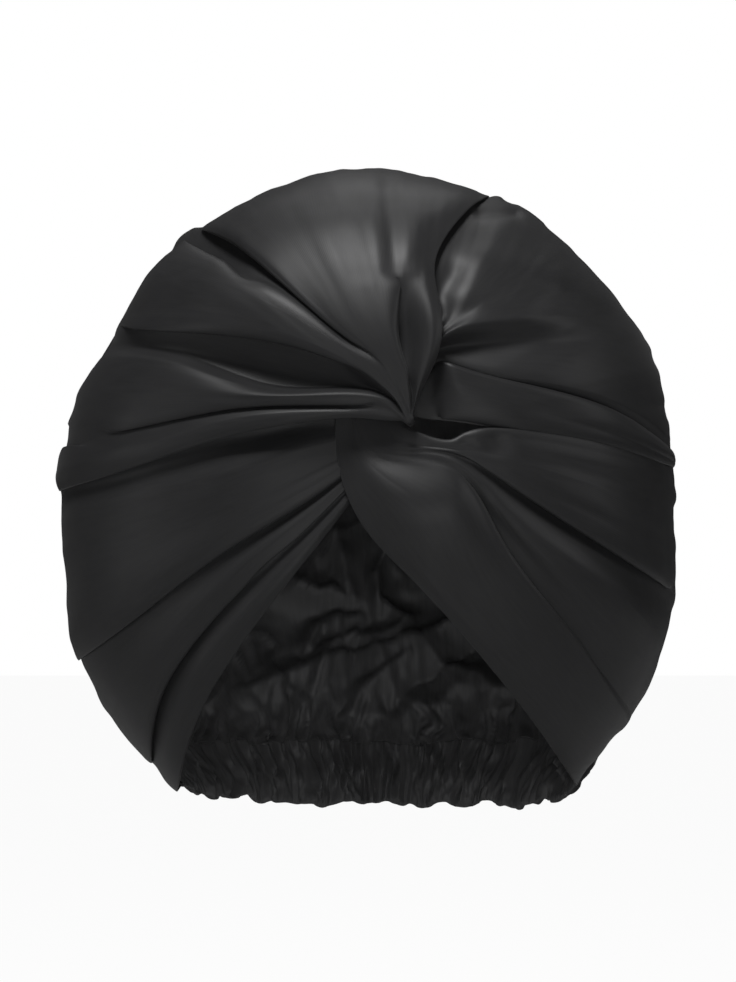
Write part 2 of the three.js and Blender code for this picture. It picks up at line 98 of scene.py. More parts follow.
# Heights of the casing above the floor of the frame, and how far its top is tucked in.
CASING_TOP = 24.0
CASING_TUCK = 1.6
HEM_GAP = 0.9
HEM_BOTTOM = -3.4
# The lower edge rises to both ends from a place off its middle, and most at the very ends.
HEM_LOW_SIDE = 0.2
HEM_END_RISE = 5.0
CASING_END_RISE = 6.0
CASING_END = 36
# The lower edge is narrower than the hem by a share, and it leans in under the body.
CASING_NARROWS = 0.45
CASING_LEAN = 9.0
# The elastic down the casing: its middle, its width and how far it draws the gathers in.
ELASTIC = (0.72, 0.1, 0.35)
LINING_GAP = 1.2
LINING_WALL = 0.5
# The highest lift of the crown that the lining inside it follows.
INNER_TOP = 0.5
# Turns of the added lines round a wall's side edge, in degrees.
ROLL_TURNS = (45, 90, 135)
# Columns and rows beside a tight fold in which a wall thins, how tight, and by what share.
FOLD_REACH = ((1, 5), (0, 2))
FOLD_TIGHT = (0.2, 0.9)
FOLD_THINS = 0.8
# Columns round the rim and along the hem, and rings to the pole.
CROWN_GRID = (250, 230, 99)
LINING_GRID = (230, 250, 99)
# The size of the ring round the pole, as a share of the ring before it.
POLE_SHARE = 0.4
# Rows along the hem and columns round the tube.
CASING_GRID = (1100, 40)

# --- fold tables
# A row is one fold line of a fan: its name, the angle where it meets the outline, its lift at
# each station, and its path of places across and up from the twist. A name that ends in "!"
# and a number is a sharp crease from that station on, and a higher fold beside it laps over it.

LEFT_UPPER = (
    ("right edge", 71, (3.8, 5, 4, 3.5, 1.4),
     ((5.2, 15.2), (12.6, 38), (9.6, 65), (21, 86))),
    ("edge roll", 75.5, (6.8, 6.8, 5.5, 5, 0),
     ((3.8, 16.1), (8.2, 38.5), (5, 67), (13, 89))),
    ("dimple!0.6", 90, (2.6, -0.2, 7, 4.8, 0),
     ((-0.6, 18.2), (-5, 36.8), (-3, 63), (-3, 90))),
    ("dimple lip", 98, (7.8, 8.2, 7.4, 5.2, 0),
     ((-2.6, 19), (-9, 37.5), (-14, 62), (-16, 89))),
    ("crown swell", 110, (7.8, 8.2, 8.2, 6.4, 0.5),
     ((-6.5, 20.8), (-19, 37.5), (-29, 61), (-36, 87))),
    ("first lip", 135, (7.8, 7.7, 7.5, 6.5, 0),
     ((-10.4, 22.6), (-27, 37), (-49.5, 58), (-72, 78.5))),
    ("first crease!1.1", 137.5, (7.6, 5, 3, -1, 3),
     ((-11, 22), (-28.2, 35.7), (-51.5, 56), (-74, 75))),
    ("pocket floor!3.2", 140.5, (7.5, 6.6, 5.4, -3, 3.5),
     ((-11.6, 21.4), (-29.2, 34.2), (-52.7, 53.6), (-81, 71))),
    ("second swell", 149, (7.4, 7.4, 7.7, 6.5, 1),
     ((-12, 19.4), (-30.5, 32.2), (-58, 48), (-91.5, 61))),
    ("second ridge", 160, (7.3, 7.4, 7, 4.5, 0),
     ((-10.8, 14.9), (-32.2, 28.4), (-64, 40.5), (-98, 47))),
    ("lens top!1.3", 162, (6.5, 2.2, 0, 1, 0),
     ((-10, 12.9), (-32.4, 25.6), (-65.5, 34.5), (-100, 38))),
    ("second valley", 165, (3, -1.8, -7, -4.5, -0.8),
     ((-10.2, 11.8), (-32.5, 15.8), (-65.5, 18.4), (-101, 31))),
    ("strip top", 168.5, (5.8, 5.2, 1.6, 2, 0),
     ((-11.2, 10.6), (-32.8, 13.2), (-66.5, 15), (-103, 26))),
    ("strip crest", 176, (7, 7.4, 4.8, 3.5, 1),
     ((-12.6, 8.8), (-33, 10.4), (-69, 10.5), (-107, 11))),
    ("third crease!0.8", 183.5, (6, 4.2, 1.5, 1, 0),
     ((-13.4, 6.2), (-33, 7), (-70, 6), (-109, -1))),
    ("border crest", 186, (6.2, 6.2, 4.5, 3.5, 2.5),
     ((-14, 4), (-33, 4.6), (-72, 1.8), (-111, -9))),
    ("lower edge", 190.5, (5.2, 5.2, 3.5, 2.5, 0.8),
     ((-14.6, 1.6), (-33, 1.7), (-76, -5.3), (-113.5, -17))),
)

LEFT_LOWER = (
    ("hidden top", 187.5, (-5, -3.5, 3, 3, 1.5),
     ((-16, 0.5), (-48, 6), (-85, -0.5), (-118, -11))),
    ("pocket", 191.2, (-5, -5, -3, -1.2, 0),
     ((-16, -1.5), (-48, -1), (-84, -8.5), (-118, -19))),
    ("upper swell", 196, (-5, -2, 1, 1, 0.5),
     ((-16, -4.5), (-48, -12), (-83, -23), (-120, -31))),
    ("middle", 204, (-5, -2, 1.5, 1.5, 0),
     ((-16, -8), (-48, -23), (-83, -40), (-120, -55))),
    ("lower ridge", 213, (-4.5, -0.5, 2.5, 3, 3.6),
     ((-16, -11), (-48, -31), (-83, -50.5), (-118, -76))),
    ("lower valley!", 215.5, (-5, -4, -1.5, 0, 1.5),
     ((-16, -12.5), (-47, -35.5), (-80.5, -56), (-115, -82))),
    ("last swell", 223, (-5, -1.5, 1.5, 2.5, 1),
     ((-16, -14.5), (-45.5, -40.5), (-74, -64.5), (-107, -98))),
    ("last lip", 231, (-5, -1.5, 1.5, 2.5, 0),
     ((-16, -16), (-44.3, -43), (-73.5, -69), (-105, -108))),
    ("last crease!", 233, (-5.5, -3.5, -1.5, -2, -1),
     ((-16, -17), (-43.5, -44.5), (-71.5, -70.5), (-103, -110))),
    ("edge swell", 235.5, (-5, -1.5, 1.5, 1.5, 0),
     ((-16, -18.5), (-41, -48), (-66, -75), (-96, -114))),
    ("face edge", 237.5, (-5.5, -3, -0.5, -0.5, 0),
     ((-16, -20.5), (-37.5, -49), (-58.5, -75.5), (-88, -119))),
)

RIGHT_UPPER = (
    ("hidden edge", 73.5, (-5.4, -3, 0, 0, 0, -1.5),
     ((-33, 16), (-14, 28), (3, 40), (4.5, 64), (13, 87))),
    ("side dent", 68, (-5.4, -3.5, -2.2, -0.8, 0.6, 3),
     ((-29, 14), (-8, 28), (12.5, 43), (12.5, 62), (24, 84))),
    ("side swell", 63, (-5.4, -3.5, 0.5, 2.4, 2.8, 3.2),
     ((-26, 12.5), (-5, 27), (15.5, 42.5), (25, 60), (40, 80))),
    ("upper middle", 45, (-5.4, -3.5, 1.5, 3, 3, 0),
     ((-23, 11.5), (-2, 26), (18, 41.5), (36, 53), (58, 63))),
    ("shelf", 27, (-5.4, -4, 3, 3.8, 2.4, 0.5),
     ((-20, 10.5), (2, 28), (19, 39), (49, 45), (79, 46))),
    ("wedge", 14, (-5.4, -4.8, -5.2, -3, 0.6, 0.5),
     ((-17, 9.5), (5, 27), (18, 34), (49, 35), (83, 34))),
    ("upper lip", -3, (-5.4, -4.5, -4, -0.8, 0.6, -0.5),
     ((-15, 8.5), (6.5, 25.5), (17.5, 26.8), (41, 20.6), (84, 11))),
    ("upper crease!", -6, (-5.4, -4.7, -4.4, -2, -2.2, -1.7),
     ((-13.5, 7.8), (7, 24.5), (17.5, 25.2), (41, 18.4), (84, 7.5))),
    ("pleat crest", -7.2, (-5.4, -4.5, 1.2, 1.4, 1.8, 1.2),
     ((-12, 7), (7.5, 20.5), (18.5, 22.4), (41, 15.6), (82, 3.5))),
    ("pleat body", -8, (-5.4, -4.4, 0.2, 1.6, 1, 1),
     ((-10, 6.3), (8, 11), (21, 11.5), (46, 6), (81, -2.5))),
    ("hole top!", -9.3, (-5.4, -4.8, -4, -2.5, -2.5, 0),
     ((-8, 5.5), (8, 2), (23, 0.2), (53, -4.6), (80, -8.5))),
)

RIGHT_LOWER = (
    ("hole rim!", -8.6, (-3.9, -1.2, -2.5, -2.5, -2.5, 0),
     ((-8, 5.5), (-0.5, -1.6), (16, -7), (31, -1.8), (78, -6.6))),
    ("rim roll", -11, (-3.9, 0, 2, 1.5, 0.5, 0),
     ((-10, 6.5), (-2, -3.2), (16, -9), (36, -6), (77, -11.5))),
    ("first swell", -22, (-3.9, -0.4, 2, 2.5, 1.5, -1),
     ((-13, 8), (-5.5, -6.5), (16.5, -10.6), (48, -17), (84, -29))),
    ("long lip", -30, (-3.9, -0.6, 2.4, 2.8, 3, 0),
     ((-16, 9.5), (-8, -8.5), (16, -11.6), (45, -26.3), (80, -47))),
    ("long crease!1.8", -32.5, (-3.9, -0.7, 1.8, -1, -2.5, 0.5),
     ((-18, 10.5), (-9, -9.5), (15.6, -12.4), (44, -28), (79, -50.5))),
    ("streak", -41, (-3.9, -0.8, 2.4, 2.5, 3, 0),
     ((-20.5, 11.5), (-12, -11), (16.4, -14.6), (42, -38), (80, -66))),
    ("inner lip", -48.5, (-3.9, -0.8, 3, 1.5, 1, 0),
     ((-22.5, 12.5), (-14, -12.3), (17, -16.6), (42, -44.5), (73, -80))),
    ("inner crease!1.9", -52.3, (-3.9, -0.8, 3.2, -0.5, -0.5, 0),
     ((-24, 13), (-15, -13), (17.2, -18.2), (38.2, -49.3), (67.3, -86.8))),
    ("band edge", -53.5, (-3.9, -0.8, 4.1, 4.6, 2, 0.5),
     ((-24.5, 13.2), (-15.8, -13.3), (16.4, -19.4), (36.6, -50.6), (65.6, -88.4))),
    ("band crest", -58, (-3.9, -0.6, 9.5, 6, 2.8, -0.5),
     ((-27, 14), (-19.5, -15), (8.5, -34), (26, -62), (60, -106))),
    ("band side", -62.5, (-3.9, -1.4, 6, 4, 2, 0.5),
     ((-30, 15), (-25.5, -17.5), (-7, -41), (14, -72), (51, -113))),
    ("face edge", -65, (-3.9, -2.6, 1, 0.5, 0, 2),
     ((-33, 16), (-31, -20), (-17.5, -46.5), (3.5, -68.5), (42.5, -114))),
)

# The line where the left panel's folds meet over the knot, and their lift at its ends and middle.
KNOT_LINE = ((0.9, 4.2), (-4.2, 0.9))
KNOT_LIFTS = (4.6, 6.8)

# Soft dents and ridges: two ends across and up from the twist, height and width.
LEFT_MARKS = (
    ((-8, 66), (-10, 104), -1.3, 4.5),
    ((-36, -46), (-28, -56), -0.8, 1.6),
)
RIGHT_MARKS = (
    ((12.5, 56), (18.5, 64), -1.7, 5),
    ((30, 91), (46, 92), -1.5, 2.6),
    ((36.5, -8.5), (37.5, -9.5), -2, 5),
    ((22.5, -7.6), (33, -12.5), -0.6, 2.2),
    ((16, 47), (88, 47.5), -1.2, 6),
    ((30, 70), (62, 62), 1.2, 7),
)

# The bunched neck between the left panel's fans. Each section has a place, a lift, a half-width
# across the cloth, a half-height, and how far its edges curl behind it, in degrees.
NECK = (
    (-0.9, 1.2, 5.2, 2.2, 1.5, 20),
    (-0.1, 0.3, 3.2, 1.7, 1.3, 40),
    (0, 0.1, 0.8, 1.5, 1.2, 50),
    (-0.5, -0.2, -1.8, 1.6, 1.1, 40),
    (-3, -2.2, -4.4, 3.6, 1, 20),
    (-8, -5.8, -5.6, 6.5, 0.8, 8),
    (-12, -8.2, -5.7, 9, 0.5, 2),
)

# Folds of the lining: places across and up from the twist along each crest, its height, and
# how wide it falls on its right and on its left.
CRUMPLES = (
    (((-36, -50), (-32, -72), (-26, -84)), 7, 6, 8),
    (((-9, -56), (-16, -73), (-16, -84), (-1, -93), (-5, -98.5), (-18, -101)), 6.5, 6, 3.5),
    (((-55, -77), (-40, -81), (-26, -85)), 6.5, 4.5, 9),
    (((-50, -102), (-43, -94), (-23, -91)), 5.5, 6, 4.5),
    (((-44, -105), (-26, -98)), 4.5, 4, 5),
    (((-17, -104), (6, -101), (24, -91)), 7, 14, 4.5),
    (((-7, -129), (0, -119.5), (12, -112.5), (33, -102.5)), -5, 5, 3),
    (((-27, -128), (-22.5, -119), (-11, -111.5), (0, -106)), 6.5, 7, 4),
    (((-68, -115), (-53, -111), (-32, -106)), 6.5, 10, 4.5),
    (((-5, -134), (1, -126.5), (13.5, -126), (10.5, -138), (8, -148)), 6, 5, 4),
    (((14, -109), (34, -113), (43, -119), (37, -135), (40, -147)), 5.5, 8, 5),
    (((-87, -130), (-71, -150)), 5, 5, 6),
    (((-76, -122), (-66, -140)), 3.5, 6, 5),
    (((-31, -132), (-29, -148)), -5, 3, 3),
    (((-52, -124), (-44, -146)), 3.5, 5, 7),
    (((24, -138), (20, -150)), 4, 3, 4),
    (((60, -124), (57, -146)), 4, 4, 6),
    (((14, -70), (30, -84)), 4, 6, 4),
)

# Pleats that rise from the hem, in sets: how far the set is moved over, how many, their seed,
# length, width and height, and the rise in which they grow twice as wide. In the rise
# PLEAT_FAN they spread twice as far, and each varies in place, length, width, lean and height.
HEM_LENGTH = 220
PLEAT_FAN = 420
PLEAT_VARIES = np.array([0.35, 0.55, 0.25, 0.16, 0.45])
NAPE_PLEATS = ((-2, 23, 11, 62, 3.6, 2.4, 45), (0, 66, 18, 14, 1.2, 1.1, 45))
DRAPES = ((3, 12, 23, 125, 5.5, 5, 120), (0, 10, 29, 95, 4, -3.2, 120))
LINING_PLEATS = ((-2, 34, 17, 22, 2, 3.2, 45), (0, 74, 19, 12, 1, 1.9, 45))

# Fine folds of the front: seed, width in degrees, length, height, and how far out they begin.
STREAKS = ((3, 5.5, 70, 0.4, 30), (4, 2.2, 40, 0.12, 40))
STREAKS_FULL = 90
# Swells of the crown: seed, size, how far they are drawn out upwards, and height.
CROWN_SWELLS = ((12, 42, 0.45, 2.6), (13, 17, 0.6, 0.5))
# Seed, size and height of the hem's waves, of the casing's lower edge's, and of loose ridges.
HEM_WAVES = ((50, 14, 2.2), (51, 5, 1.1))
CASING_WAVES = ((31, 11, 1.8), (32, 4.5, 0.9))
LINING_RIDGES = ((21, 30, 4.2), (25, 14, 2.2), (29, 7, 0.6))
# The scale of the crests' heights, how round they are on top, and how steeply they fall.
CRUMPLE_SCALE = 1.25
CREST_ROUND = 0.6
CREST_FALL = 1.12

# --- curves and noise


def mix(a, b, t):
    return a + (b - a) * t


def smooth(value, low, high):
    """0 below low, 1 above high and smooth between."""
    t = np.clip((np.asarray(value, float) - low) / (high - low), 0, 1)
    return t * t * (3 - 2 * t)


def catmull(before, a, b, after, t):
    slope_a, slope_b, rise = (b - before) / 2, (after - a) / 2, b - a
    bend, twist = 3 * rise - 2 * slope_a - slope_b, slope_a + slope_b - 2 * rise
    return a + t * (slope_a + t * (bend + t * twist))


def spans(places, count):
    """The row before each place among count rows, and how far past that row the place lies."""
    row = np.minimum(np.floor(places).astype(int), count - 2)
    return row, places - row


def along(values, places):
    """A smooth curve through the rows of values, read at places that count from the first row."""
    values = np.asarray(values, float)
    row, t = spans(places, len(values))
    ends = np.vstack([2 * values[:1] - values[1:2], values, 2 * values[-1:] - values[-2:-1]])
    t = t.reshape((-1,) + (1,) * (values.ndim - 1))
    return catmull(*(ends[row + k] for k in range(4)), t)


def even_slopes(gaps, values):
    """Slopes at rows of knots that bend evenly through them, with free ends; gaps lie between."""
    rise = np.diff(values, axis=1) / gaps
    near = 1 / gaps
    matrix, pull = np.zeros((*values.shape, values.shape[1])), np.zeros_like(values)
    k = np.arange(values.shape[1] - 1)
    for here, there in ((k, k + 1), (k + 1, k)):
        matrix[:, here, there] = near
        matrix[:, here, here] += 2 * near
        pull[:, here] += 3 * rise * near
    return np.linalg.solve(matrix, pull[..., None])[..., 0]


def along_knots(values, places, slopes_of=even_slopes):
    """Like along, for rows of numbers, with slopes that a function works out at its knots."""
    values = np.asarray(values, float)
    slopes = slopes_of(np.ones((values.shape[1], len(values) - 1)), values.T).T
    row, t = spans(places, len(values))
    return hermite(values[row], slopes[row], values[row + 1], slopes[row + 1], 1.0, t[:, None])


def outline(angle):
    """The body's radius about the twist at an angle in radians."""
    count = len(OUTLINE)
    place = np.degrees(angle) / (360 / count) % count
    i = np.floor(place).astype(int)
    near = [OUTLINE[(i + k) % count] for k in (-1, 0, 1, 2)]
    return catmull(*near, place - i)


def rounded(share):
    """The body's depth at a reach, or its reach at a depth, each as a share of the most."""
    return (1 - np.clip(share, 0, 1) ** ROUNDNESS) ** (1 / ROUNDNESS)


def lattice(ix, iy, iz, seed):
    """A repeatable number from -1 to 1 for each whole-number cell."""
    mixed = (ix * 73856093) ^ (iy * 19349663) ^ (iz * 83492791) ^ (seed * 2654435)
    for _ in range(2):
        mixed = ((mixed ^ (mixed >> 15)) & 0x7FFFFFF) * 31337 + 12345
    return (mixed & 0xFFFFFF) / 0x7FFFFF - 1.0


def noise(points, size, seed):
    """Smooth noise from -1 to 1 at rows of x, y, z, with lumps of a size."""
    p = np.asarray(points, float) / size
    cell = np.floor(p).astype(np.int64)
    t = p - cell
    t = t * t * t * (t * (t * 6 - 15) + 10)
    total = 0.0
    for corner in np.ndindex(2, 2, 2):
        share = np.where(corner, t, 1 - t)
        share = share[..., 0] * share[..., 1] * share[..., 2]
        total = total + share * lattice(*np.moveaxis(cell + corner, -1, 0), seed)
    return total


def lumps(seed, *place):
    """Noise at places given in lumps along up to three ways."""
    place = np.broadcast_arrays(*place, *[0.0] * (3 - len(place)))
    return noise(np.stack(place, -1), 1.0, seed)


# --- places on the body


def body_points(across, up, reach, lift, side=-1.0):
    """Points of places on the body, in millimetres from its core; side is -1 in front."""
    turn = np.arctan2(up, across)
    radius = outline(turn) * reach
    behind = side * DEPTH * rounded(reach)
    return outwards(np.stack([radius * np.cos(turn), behind, radius * np.sin(turn)], -1), lift)


def outwards(points, lift):
    """Points moved away from the body's core."""
    return points * (1 + lift / np.linalg.norm(points, axis=-1))[..., None]


def reach_of(across, up):
    """How far out a place lies, from 0 on the axis to 1 at the outline."""
    return np.hypot(across, up) / outline(np.arctan2(up, across))


def unit(ways):
    """The ways with a length of one."""
    return ways / np.maximum(np.linalg.norm(ways, axis=-1, keepdims=True), 1e-12)


def grid_normals(points, wraps):
    """Outward unit normals of a grid of points, whose last column may wrap on to its first."""
    down = np.gradient(points, axis=0)
    if wraps:
        right = (np.roll(points, -1, 1) - np.roll(points, 1, 1)) / 2
    else:
        right = np.gradient(points, axis=1)
    normals = unit(np.cross(down, right))
    return normals if np.sum(normals * points) > 0 else -normals


# --- folded fans

# The share of a lap's columns on its upper side, and the stations over which it begins.
LAP_PART = 0.72
LAP_RAMP = 0.7
# A fold laps over a crease by its drop to it, and by its lead over the fold beyond.
LAP_DROP = (0.6, 2.2)
FORWARD_LEAD = (-0.6, -0.1)
BACK_LEAD = (0.4, 0.9)
# A drop that stands for no fold beside a fan's first and last lines.
NO_FOLD = 9
# Limits of the slope at a fold line, as a share of the rise beside it: between, and at a crest.
STEEPEST = 3.0
CREST_SLOPE = 0.8
# Rows between a fan's stations, by its number of stations.
FAN_ROWS = {4: (12, 14, 16, 26), 5: (9, 12, 14, 15, 24)}
NECK_ROWS = 30
# How far the right panel's hairpin stands out at its middle, and its rows.
HAIRPIN = (-1.4, 0, 0.4)
HAIRPIN_ROWS = 10


def from_knot(rows):
    """Rows of a fan with a first station added on the line over the knot."""
    made = []
    for k, (name, rim, lifts, path) in enumerate(rows):
        share = k / (len(rows) - 1)
        place = tuple(mix(a, b, share) for a, b in zip(*KNOT_LINE))
        lift = mix(*KNOT_LIFTS, math.sin(share * math.pi))
        made.append((name, rim, (lift, *lifts), (place, *path)))
    return made


def fan_lines(fan, places):
    """Each fold line of a fan at places along it: across and up, reach, and lift."""
    last = len(fan[0][3])
    i, t = spans(places, last + 1)
    eased = i + np.where(i == last - 1, 1 - (1 - t) ** 2, t)
    lines = []
    for _, rim, lift, path in fan:
        turn = math.radians(rim)
        radius = outline(turn)
        end = radius * math.cos(turn), radius * math.sin(turn)
        flat = along_knots([*path, end], eased)
        reach = np.where(places >= last, 1.0, np.minimum(reach_of(*flat.T), 1.0))
        lines.append((flat, reach, along_knots(np.transpose([lift]), places, fold_slopes)[:, 0]))
    return [np.stack(part, 1) for part in zip(*lines)]


def fold_slopes(gaps, lifts):
    """How fast the lift changes across each fold line, kept low enough not to overshoot."""
    slopes = even_slopes(gaps, lifts)
    rise = np.diff(lifts, axis=1) / gaps
    left, right = rise[:, :-1], rise[:, 1:]
    least = np.minimum(np.abs(left), np.abs(right))
    same = left * right > 0
    low = np.where(same, np.where(left > 0, 0, -STEEPEST * least), -CREST_SLOPE * least)
    high = np.where(same, np.where(left > 0, STEEPEST * least, 0), CREST_SLOPE * least)
    slopes[:, 1:-1] = np.clip(slopes[:, 1:-1], low, high)
    return slopes


def hermite(start, slope_start, end, slope_end, gap, t):
    a = (1 + 2 * t) * (1 - t) ** 2
    b = t * (1 - t) ** 2
    c = t * t * (3 - 2 * t)
    d = t * t * (t - 1)
    return a * start + b * gap * slope_start + c * end + d * gap * slope_end


def lap_profile(gap, high, low, t):
    """A fold that laps over its crease: how far across, in gaps, the lift, and how far under."""
    drop = np.maximum(high - low, 0.1)
    tuck = np.clip(0.55 * drop, 0.2, 3.0)
    turn = np.clip(0.16 * drop, 0.06, 0.35)
    nose = 1.05 * gap + 0.5 * tuck
    s = np.minimum(t / LAP_PART, 1)
    b0, b1, b2, b3 = (1 - s) ** 3, 3 * (1 - s) ** 2 * s, 3 * (1 - s) * s * s, s**3
    x = b1 * 0.8 * nose + b2 * nose + b3 * (gap - tuck)
    h = (b0 + b1) * high + b2 * (low + 2 * turn + 0.15 * drop) + b3 * (low + 2 * turn)
    round_turn = np.clip((t - LAP_PART) / (1 - LAP_PART), 0, 1) * math.pi
    x = x - np.sin(round_turn) * turn * 1.2
    h = h - (1 - np.cos(round_turn)) * turn
    return x / gap, h, tuck


def lap_strength(fan, lift, places):
    """How far the folds before and after each crease lap over it, from 0 to 1 at each place."""
    around = np.hstack([lift[:, :1] - NO_FOLD, lift, lift[:, -1:] - NO_FOLD])
    before, after = around[:, :-2], around[:, 2:]
    marks = [name.partition("!") for name, *_ in fan]
    sharp = np.array([bool(mark) for _, mark, _ in marks])
    start = np.array([float(number or -1) for *_, number in marks])
    begun = smooth(places[:, None], start, start + LAP_RAMP) * sharp
    forward = smooth(before - lift, *LAP_DROP) * smooth(before - after, *FORWARD_LEAD) * begun
    back = smooth(after - lift, *LAP_DROP) * smooth(after - before, *BACK_LEAD) * begun
    return forward * ~np.append(False, sharp[:-1]), back


def fan_sheet(fan, places, steps):
    """A fan as a grid of across, up, reach and lift, with steps columns for each fold."""
    flat, reach, lift = fan_lines(fan, places)
    gaps = np.maximum(np.linalg.norm(np.diff(flat, axis=1), axis=-1), 1e-3)
    slopes = fold_slopes(gaps, lift)[..., None]
    forward, back = lap_strength(fan, lift, places)
    forward, back = forward[:, 1:, None], back[:, :-1, None]
    gap, start, end = gaps[..., None], lift[:, :-1, None], lift[:, 1:, None]
    t = np.arange(steps) / steps
    height = hermite(start, slopes[:, :-1], end, slopes[:, 1:], gap, t)
    x, h, tuck = lap_profile(gap, start, end, t)
    weight, height = mix(t, x, forward), mix(height, h, forward)
    x, h, tuck_back = lap_profile(gap, end, start, 1 - t)
    weight, height = mix(weight, 1 - x, back), mix(height, h, back)
    place = mix(flat[:, :-1, None], flat[:, 1:, None], weight[..., None])
    far = mix(reach[:, :-1, None], reach[:, 1:, None], weight)
    # A fold that laps over a crease draws the edge of the fold beyond the crease along with it.
    pulls = (forward * tuck * (1 - t) ** 2 / -gap, back * tuck_back * t**2 / gap)
    for pull, there, here in zip(pulls, np.s_[:-1, 1:], np.s_[1:, :-1]):
        pull = pull[:, there]
        place[:, here] += np.diff(flat, axis=1)[:, there, None] * pull[..., None]
        far[:, here] += np.diff(reach, axis=1)[:, there, None] * pull
    sheet = [*np.moveaxis(place, -1, 0), np.clip(far, 0, 1), height]
    last = [*flat[:, -1].T, reach[:, -1], lift[:, -1]]
    return [np.column_stack([part.reshape(len(part), -1), end]) for part, end in zip(sheet, last)]


def fan_points(fan, rows, steps):
    """Points of a fan from its inner end to the seam behind the rim."""
    places = np.concatenate([i + np.arange(n) / n for i, n in enumerate(rows)] + [[len(rows)]])
    across, up, reach, lift = fan_sheet(fan, places, steps)
    front = body_points(across, up, reach, lift)
    behind = []
    above_hem = smooth(up[-1] - HEM, 0, 6)
    for back, drop in SEAM_TURN:
        reach = rounded(np.minimum(back, mix(SEAM_BEHIND, back, above_hem)) / DEPTH)
        fade = max(0, 1 - back / SEAM_BEHIND)
        behind.append(body_points(across[-1], up[-1], reach, lift[-1] * fade - drop, 1.0))
    return np.concatenate([front, np.array(behind)])


def neck_rings(before, after):
    """Rings of points from one fan's narrow end, through the twist, to the other fan's."""
    across, up, lift = np.transpose([section[:3] for section in NECK])
    centres = body_points(across, up, reach_of(across, up), lift)
    middles = [before[0].mean(0), *centres, after[0].mean(0)]
    wides = [unit(end[0][-1] - end[0][0]) for end in (before, after)]
    rings = [before[1], before[0]]
    for i, (*_, half_wide, half_high, curl) in enumerate(NECK):
        path = unit(middles[i + 2] - middles[i])
        wide = mix(*wides, smooth(i, 2, len(NECK) - 1))
        wide = unit(wide - path * (wide @ path))
        high = np.cross(path, wide)
        # The first two sections face the front, and each one after them faces like the last.
        if i < 2 and high[1] > 0 or i >= 2 and high @ high_before < 0:
            high = -high
        high_before = high
        around = np.radians(np.linspace(-curl, 180 + curl, before.shape[1]))[:, None]
        wide, high = wide * half_wide, high * half_high
        rings.append(centres[i] - wide * np.cos(around) + high * np.sin(around))
    rings += [after[0], after[1]]
    return along(rings, np.linspace(1, len(rings) - 2, NECK_ROWS))[1:-1]


# --- meshes


def place_along(points):
    """Distance in millimetres down the rows of a grid, averaged over its columns."""
    steps = np.linalg.norm(np.diff(points, axis=0), axis=-1).mean(1)
    return np.concatenate([[0], np.cumsum(steps)])


def wall_depths(normals, wall):
    """The wall's depth at each point: it thins inside a tight fold, so it never comes through."""
    turn = 1 - np.sum(normals[:, 2:] * normals[:, :-2], -1)
    turn = np.pad(turn, ((0, 0), (1, 1)), mode="edge")
    for axis, reach in FOLD_REACH:
        pads = np.zeros((2, 2), int)
        pads[axis] = reach
        edges = np.pad(turn, pads, mode="edge")
        turn = np.lib.stride_tricks.sliding_window_view(edges, 2 * reach + 1, axis).max(-1)
    return wall * (1 - FOLD_THINS * smooth(turn, *FOLD_TIGHT))[..., None]


def ring_quads(block):
    """Quads between the rows of a grid of vertex numbers whose columns go all the way round."""
    right = np.roll(block, -1, 1)
    return np.stack([block[:-1], right[:-1], right[1:], block[1:]], -1).reshape(-1, 4)


def edge_quads(outer, inner):
    """Quads that close the gap between a row of the outer face and a row of the inner one."""
    return np.stack([outer[:-1], inner[:-1], inner[1:], outer[1:]], -1)


def panel_wall(name, points, wall):
    """A closed cloth wall: the grid is its outer face, and its side edges are rolled round."""
    rows, columns = points.shape[:2]
    normals = grid_normals(points, False)
    depth = wall_depths(normals, wall)
    inner = points - normals * depth
    flat = np.stack(np.meshgrid(place_along(points.transpose(1, 0, 2)), place_along(points)), -1)

    def rolled(edge, towards, turns):
        middle = (points[:, edge] + inner[:, edge]) / 2
        out = points[:, edge] - points[:, towards]
        out = unit(out - normals[:, edge] * np.sum(out * normals[:, edge], -1, keepdims=True))
        ways = [normals[:, edge] * math.cos(a) + out * math.sin(a) for a in turns]
        return np.stack([middle + way * depth[:, edge] / 2 for way in ways], 1)

    turns = [math.radians(a) for a in ROLL_TURNS]
    edges = len(turns)
    ends = rolled(-1, -2, turns), rolled(0, 1, turns[::-1])
    grid = np.concatenate([points, ends[0], inner[:, ::-1], ends[1]], 1)
    flat = np.concatenate([flat, flat[:, [-1] * edges], flat[:, ::-1], flat[:, [0] * edges]], 1)
    index = np.arange(grid.shape[0] * grid.shape[1]).reshape(grid.shape[:2])
    outer, right, inside, left = np.split(index, np.cumsum([columns, edges, columns]), 1)
    quads, polygons = [ring_quads(index)], []
    for row, way in ((0, 1), (rows - 1, -1)):
        a, b = outer[row], inside[row, ::-1]
        quads.append(edge_quads(a, b)[:, ::way])
        for polygon in ([a[-1], *right[row], b[-1]], [b[0], *left[row], a[0]]):
            polygons.append(polygon[::-way])
    return make_object(name, grid.reshape(-1, 3), np.concatenate(quads), polygons, flat)


